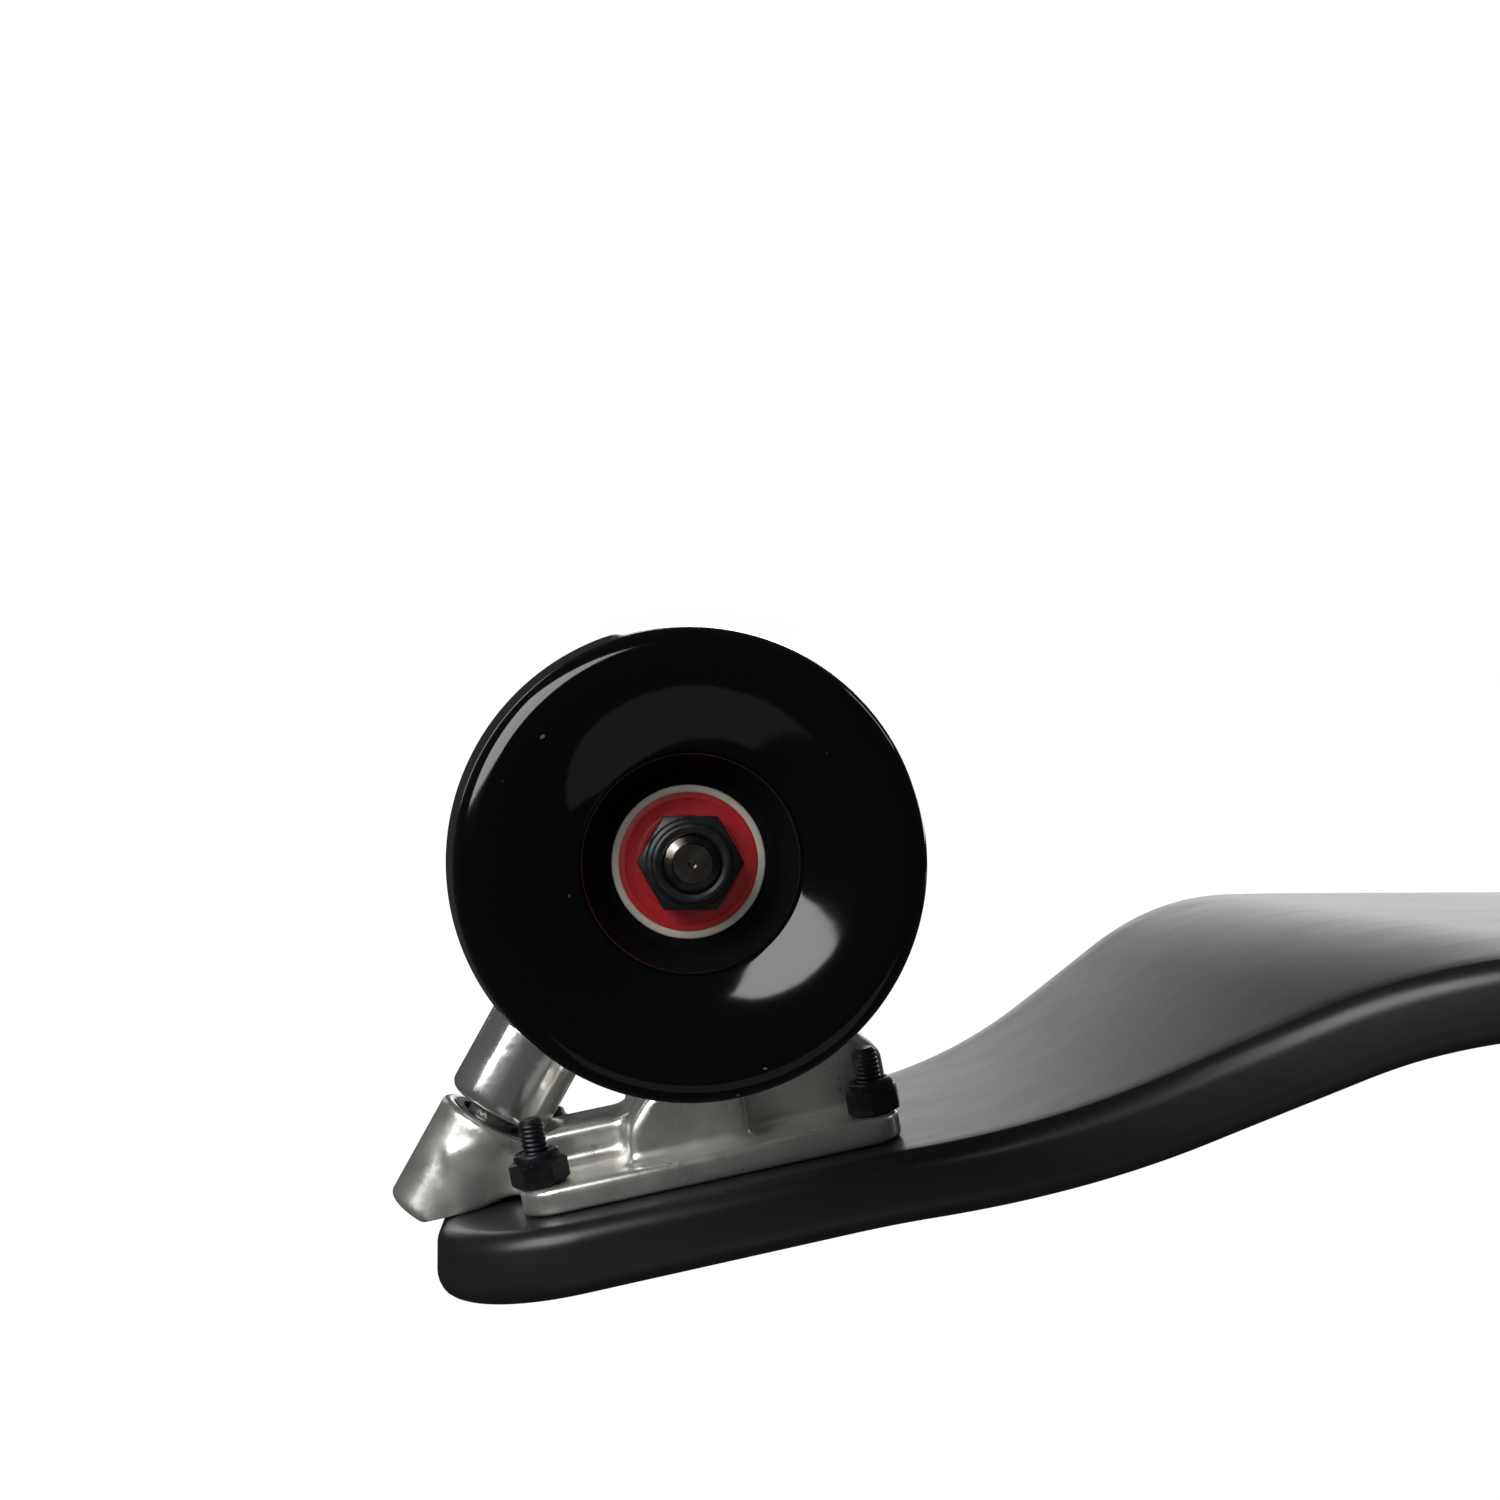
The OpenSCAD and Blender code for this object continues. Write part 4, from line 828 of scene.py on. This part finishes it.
# Arm, web, cross tube with a thicker middle, brace and steering ring, melted together, then opened for the
# kingpin's cushions and nut
def hangerDistance(p, tubeHigh):
    arm = rod(p, pivotAt(k["armStart"]), pivotAt(k["armEnd"]), k["armRadius"], 2)
    nose = rod(p, pivotAt(k["ball"]), pivotAt(k["armStart"] + 4), k["noseRadius"], 1)
    side = [[1, 0, 0], [0, 0, 1], [0, 1, 0]]
    web = prism(p, [[-22, 33], [14, 32], [14, 41], [8.9, 56.9], [-12, 50.9]], side, -9, 9, 2)
    wing = prism(p, [[44, 72 + 3.1], [-44, 72 + 3.1], [-9.5, 36 + 3.1], [9.5, 36 + 3.1]],
                 [[0, 1, 0], pivotWay, pivotSide], -36.7, -31.7, 1.5)
    axle = np.array([k["axleU"], 0, k["axleV"]])
    tube = rod(p, axle - [0, k["tubeEnd"], 0], axle + [0, tubeHigh, 0], k["tubeRadius"], 0.8)
    hub = rod(p, axle - [0, k["hubHalf"], 0], axle + [0, k["hubHalf"], 0], k["hubRadius"], 2)
    ring = rod(p, kingpinAt(-k["ringHalf"]), kingpinAt(k["ringHalf"]), k["ringRadius"], 1.2)
    d = filleted(filleted(filleted(arm, nose, 1), web, 4), filleted(tube, hub, 3), 5)
    d = filleted(filleted(d, wing, 4), ring, 3)
    d = cutBy(d, rod(p, kingpinAt(-20), kingpinAt(20), 7.35), 0.5)
    d = cutBy(d, rod(p, kingpinAt(k["ringHalf"]), kingpinAt(60), 12.5), 1)
    return cutBy(d, rod(p, kingpinAt(-34), kingpinAt(-k["ringHalf"]), 14), 1)


for end in ends:
    plate = meltedPiece(end + "Baseplate", baseplateDistance, (-62, -28, 0), (36, 28, 28), 0.8, truckMatrix(end))
    finished(plate, "board", "plate_aluminium", end + "_baseplate")
    tubeHigh = k["tubeEnd"] if end == "front" else k["motorTubeEnd"]
    hanger = meltedPiece(end + "Hanger", lambda p: hangerDistance(p, tubeHigh), (-50, -71, 8), (36, 71, 75), 0.9,
                         truckMatrix(end))
    finished(hanger, end + "_truck_hanger", "hanger_aluminium", end + "_hanger")
print("baseplates and hangers made")

# kingpins, cup washers, nuts and cushions
cushions = {"lowerHeight": 12, "upperHeight": 9, "radius": 12, "topRadius": 9.5, "bulge": 0.7, "washer": 1.5,
            "kingpin": 4.75, "nutFlats": 14.3, "nutFlatsHeight": 6, "nutCollar": 6.6, "nutHeight": 8}


# Cushion: a short barrel whose side bulges by a sine, with a flat land at each end
def cushion(name, height, low, high, origin, direction):
    t = np.linspace(0, 1, 16)
    side = np.stack([low - 0.8 + (high - low) * t + 0.8 * np.minimum(1, np.minimum(t, 1 - t) * 8)
                     + cushions["bulge"] * np.sin(np.pi * t), height * t], 1)
    inner = [[cushions["kingpin"] + 0.1, height], [cushions["kingpin"] + 0.1, 0]]
    return turned(name, np.vstack([side, inner]), origin, direction, 72, closed=True)


# Pressed washer with a lip turned over the cushion
def cupWasher(name, radius, lip, origin, direction):
    bore = cushions["kingpin"] + 0.1
    profile = rounded([[bore, 0.7], [bore, 0], [radius, 0], [radius + 0.4, lip], [radius - 0.6, lip], [radius - 1, 1.4],
                       [bore, 1.4], [bore, 0.8]], 0.4, 4)
    return turned(name, profile, origin, direction, 72, closed=True)


washers, nuts, pins = [], [], []
c = cushions
for end in ends:
    at = lambda s: truckPoint(end, *kingpinAt(s)[[0, 1, 2]])
    up, down = truckDirection(end, *kingpinWay), -truckDirection(end, *kingpinWay)
    lower = cushion(end + "LowerBushing", c["lowerHeight"], c["radius"], c["radius"],
                    at(-k["ringHalf"] - c["lowerHeight"]), up)
    upper = cushion(end + "UpperBushing", c["upperHeight"], c["radius"], c["topRadius"], at(k["ringHalf"]), up)
    for piece, node, start, stop in ((lower, "_lower_bushing", -16, -4), (upper, "_upper_bushing", 13, 4)):
        piece.data.materials.append(materials["bushing_urethane"])
        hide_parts(end + node)
        tuple(at(start))
        tuple(at(stop))
        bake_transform(piece)
    washers.append(cupWasher("washer", c["radius"], 2.4, at(k["seat"]), up))
    washers.append(cupWasher("washer", c["topRadius"] + 0.6, 2.2, at(k["nutSeat"]), down))
    nuts.append(lockNut("nut", c["nutFlats"], c["nutFlatsHeight"], c["nutCollar"], c["nutHeight"], c["kingpin"],
                        at(k["nutSeat"]), up))
    pins.append(threadedBar("pin", 42, c["kingpin"], 12, 1.25, 3.6, at(k["nutSeat"] + c["nutHeight"] + 2), down))
finished(joined("cupWashers", washers), "board", "washer_steel", "cup_washers")
finished(joined("kingpinNuts", nuts), "board", "black_steel", "kingpin_nuts")
finished(joined("kingpinBolts", pins), "board", "black_steel", "kingpins")
print("kingpins and cushions made")


# hub motor: tyre, can with a closed outer face, cover, and six screws
motorSettings = {"radius": 35, "canRadius": 30.5, "half": 22, "wall": 2.5, "cover": 4, "lip": 4.5, "bearing": 8,
                 "recess": 23.5, "screwRing": 18, "screws": 6}
m = motorSettings
hub = np.array([-wheelSettings["axle"], -wheelSettings["middle"], wheelSettings["height"]]) * mm
out = (0, -1, 0)
a = np.radians(np.linspace(0, 90, 14))
lip = np.stack([m["canRadius"] + m["lip"] * np.cos(a), m["half"] - m["lip"] + m["lip"] * np.sin(a)], 1)
profile = np.vstack([(lip * [1, -1])[::-1], lip,
                     [[m["canRadius"], m["half"] - 0.2], [m["canRadius"], 0.2 - m["half"]]]])
finished(turned("motorTyre", profile, hub, out, 160, closed=True), "rear_right_hub_motor", "wheel_urethane",
         "motor_tyre")
can = rounded([[0.01, 21.6], [5, 21.6], [6.2, 21], [7.5, 21], [m["recess"] - 1, 21], [m["recess"], m["half"]],
               [m["canRadius"], m["half"]], [m["canRadius"], -m["half"]], [m["canRadius"] - m["wall"], -m["half"]],
               [m["canRadius"] - m["wall"], 18], [10, 18], [10, 13], [m["bearing"], 13], [m["bearing"], 18],
               [0.01, 18]], 0.5, 4)
can = turned("motorCan", can, hub, out, 128, smoothAngle=30)
finished(can, "rear_right_hub_motor", "motor_can_metal", "motor_can")
cover = rounded([[m["bearing"], 1], [m["bearing"], 0], [12, 0], [13, 0.8], [24, 0.8], [25, 0],
                 [m["canRadius"] - m["wall"], 0], [m["canRadius"] - m["wall"], 4],
                 [m["bearing"], 4], [m["bearing"], 2]], 0.4, 4)
inward = hub + np.array([0, m["half"] * mm, 0])
finished(turned("motorCover", cover, inward, out, 128, closed=True, smoothAngle=30), "rear_right_hub_motor",
         "motor_can_metal", "motor_cover")
screws = []
for i in range(m["screws"]):
    a = 2 * np.pi * i / m["screws"]
    spot = hub + mm * np.array([m["screwRing"] * np.cos(a), -21, m["screwRing"] * np.sin(a)])
    socket = hexRadius(1.6, 36)
    radius = np.array([np.full(36, 1.9), np.full(36, 1.9), np.full(36, 1.6), socket + 0.2, socket, socket * 0.3])
    height = np.repeat(np.array([0, 0.35, 0.6, 0.6, 0.45, 0.1])[:, None], 36, 1)
    screws.append(aroundAxis("screw", radius, height, spot, out, smoothAngle=30))
finished(joined("motorScrews", screws), "rear_right_hub_motor", "black_steel")
print("hub motor made")

# electronics box under the deck
boxSettings = {"middle": -34, "length": 210, "width": 132, "depth": 26, "corner": 16, "flange": 9,
               "flangeThickness": 3, "wall": 2.5, "draft": 1.2, "gasket": 1.5}


# Rounded rectangle in plan, grown by an amount: straight sides and quarter-circle corners
def boxOutline(grow, steps=14):
    x, y = boxSettings["length"] / 2 - boxSettings["corner"], boxSettings["width"] / 2 - boxSettings["corner"]
    r = max(boxSettings["corner"] + grow, 0.5)
    a = np.radians(np.linspace(0, 90, steps))
    out = [np.stack([sx * x + r * np.cos(a + q), sy * y + r * np.sin(a + q)], 1)
           for sx, sy, q in ((1, 1, 0), (-1, 1, np.pi / 2), (-1, -1, np.pi), (1, -1, 3 * np.pi / 2))]
    return np.vstack(out) + [boxSettings["middle"], 0]


e = boxSettings
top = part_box("enclosure_shell")[1][2] / mm
section = rounded([[-40, -e["depth"]], [-e["draft"], -e["depth"]], [0, -e["flangeThickness"]],
                   [e["flange"], -e["flangeThickness"]], [e["flange"], 0], [-e["wall"], 0],
                   [-e["wall"] - e["draft"], e["wall"] - e["depth"]], [-40, e["wall"] - e["depth"]]], 2.6, 7)
middle = np.array([e["middle"], 0])
# the floor of the shell keeps the shape of the -15 outline and its last ring is a quarter of that
rings = []
for grow, h in section:
    outline = boxOutline(max(grow, -15))
    if grow < -39:
        outline = (outline - middle) * 0.25 + middle
    rings.append(np.column_stack([outline, np.full(56, top + h)]))
finished(skinned("electronicsBox", np.array(rings) * mm, smoothAngle=30), "board", "enclosure_abs", "enclosure_shell")

# motor lead and cable: round tubes along smooth routes through the CAD's own points
leadRoute = [[12, 50, 60.9], [17, 49.5, 60.6], [22, 46, 59], [26, 40, 56], [30, 33, 52.5], [34, 25.5, 49],
             [37, 18.5, 46.2], [38.6, 12.6, 44.2], [39.2, 8, 43], [40.3, 3.8, 42.9], [42.2, 0.9, 43.8],
             [44.2, 0, 44.65], [46, 0, 45.35]]
cableRoute = [[-254.2, 41.6], [-250.6, 39.4], [-246, 37.2], [-240, 35.8], [-233, 36.5], [-226, 39.5], [-220, 44],
              [-214, 49], [-208, 53], [-202, 54.6], [-197.8, 53.9], [-193.5, 52.2], [-189.2, 49.8], [-185, 47],
              [-180.8, 44.1], [-176.5, 41.7], [-172.2, 40], [-168, 39.3], [-152, 39.3], [-137.5, 39.3]]


# Catmull-Rom curve through points, so many steps between each two
def smoothRoute(points, steps=5):
    p = np.array(points, float)
    p = np.vstack([2 * p[0] - p[1], p, 2 * p[-1] - p[-2]])
    t = np.linspace(0, 1, steps, endpoint=False)[None, :, None]
    a, b, c, d = [p[i:len(p) - 3 + i][:, None] for i in range(4)]
    curve = 0.5 * (2 * b + (c - a) * t + (2 * a - 5 * b + 4 * c - d) * t ** 2 + (3 * b - a - 3 * c + d) * t ** 3)
    return np.vstack([curve.reshape(-1, 3), p[-2]])


# Tube: circles square to the route, the two end circles drawn in for a rounded edge
def tubeAlong(name, route, radius, steps=24):
    way = np.gradient(route, axis=0)
    way /= np.linalg.norm(way, axis=1, keepdims=True)
    a = np.cross(way, [0.3, 0.2, 1.0])
    a /= np.linalg.norm(a, axis=1, keepdims=True)
    b = np.cross(way, a)
    turnBy = np.linspace(0, 2 * np.pi, steps, endpoint=False)[None, :, None]
    wide = np.full(len(route), float(radius))
    wide[[0, -1]] *= 0.9
    rings = route[:, None] + wide[:, None, None] * (np.cos(turnBy) * a[:, None] + np.sin(turnBy) * b[:, None])
    return skinned(name, rings, smoothAngle=40)


route = np.array([truckPoint("rear", *point) for point in smoothRoute(leadRoute)])
finished(tubeAlong("motorLead", route, 3 * mm), "rear_truck_hanger", "cable_sheath", "motor_lead")
route = smoothRoute([[x, 0, z] for x, z in cableRoute]) * mm
finished(tubeAlong("motorCable", route, 3 * mm), "board", "cable_sheath", "motor_cable")
print("box and cable made")

# floor, world and lights
floorMesh = bpy.data.meshes.new("floor")
half = 30.0
floorMesh.from_pydata([(-half, -half, 0), (half, -half, 0), (half, half, 0), (-half, half, 0)], [], [(0, 1, 2, 3)])
floor = bpy.data.objects.new("floor", floorMesh)
bpy.context.scene.collection.objects.link(floor)
paper = bpy.data.materials.new("whitePaper")
paper.use_nodes = True
floorMesh.materials.append(paper)
shader = paper.node_tree.nodes["Principled BSDF"]
shader.inputs["Base Color"].default_value = linearColour("#6e6e6e")
shader.inputs["Roughness"].default_value = 0.9
shader.inputs["Specular IOR Level"].default_value = 0.0
shader.inputs["Emission Color"].default_value = (1, 1, 1, 1)
shader.inputs["Emission Strength"].default_value = 0.98
floor.visible_glossy = floor.visible_diffuse = floor.visible_shadow = False

world = bpy.data.worlds.new("studio")
bpy.context.scene.world = world
world.use_nodes = True
background = world.node_tree.nodes["Background"]
rays = addNode(world.node_tree, "ShaderNodeLightPath")
# white where it is looked at, a soft fill for dull surfaces, and nearly dark in reflections
fill = addNode(world.node_tree, "ShaderNodeMapRange",
               {"Value": rays.outputs["Is Diffuse Ray"], "To Min": 0.03, "To Max": 0.5})
strength = addNode(world.node_tree, "ShaderNodeMix",
                   {"Factor": rays.outputs["Is Camera Ray"], "A": fill.outputs["Result"], "B": 1.05}, data_type="FLOAT")
world.node_tree.links.new(strength.outputs["Result"], background.inputs["Strength"])
background.inputs["Color"].default_value = (1, 1, 1, 1)

# Soft boxes: name, way from the wheel that is nearest the camera, distance, width, height, light given off
lightSettings = [
    ("key", (0.63, -0.58, -0.51), 0.9, 0.75, 0.56, 6.5),
    ("leftStrip", (0.5, 0.8, -0.34), 0.9, 0.2, 0.4, 0.8),
    ("back", (-0.45, 1.0, -0.17), 1.5, 1.5, 0.32, 2.9),
    ("right", (-0.78, 0.3, -0.6), 1.6, 0.2, 0.5, 2.5),
    ("overhead", (-0.25, -0.73, 0.68), 2.0, 2.6, 1.3, 0.19),
]
aim = np.array([0.25, -0.05, 0.05])
for name, way, distance, width, height, glow in lightSettings:
    lamp = bpy.data.lights.new(name, "AREA")
    lamp.shape = "RECTANGLE"
    lamp.size, lamp.size_y = width, height
    lamp.energy = glow * width * height * np.pi
    light = bpy.data.objects.new(name, lamp)
    bpy.context.scene.collection.objects.link(light)
    sideways, upright, outwards = axisFrame(way)
    matrix = np.eye(4)
    matrix[:3, 0], matrix[:3, 1], matrix[:3, 2] = sideways, upright, outwards
    matrix[:3, 3] = aim + distance * outwards
    light.matrix_world = Matrix(matrix.tolist())
    light.visible_camera = False
bpy.context.scene.view_settings.view_transform = "Standard"
print("lights placed")

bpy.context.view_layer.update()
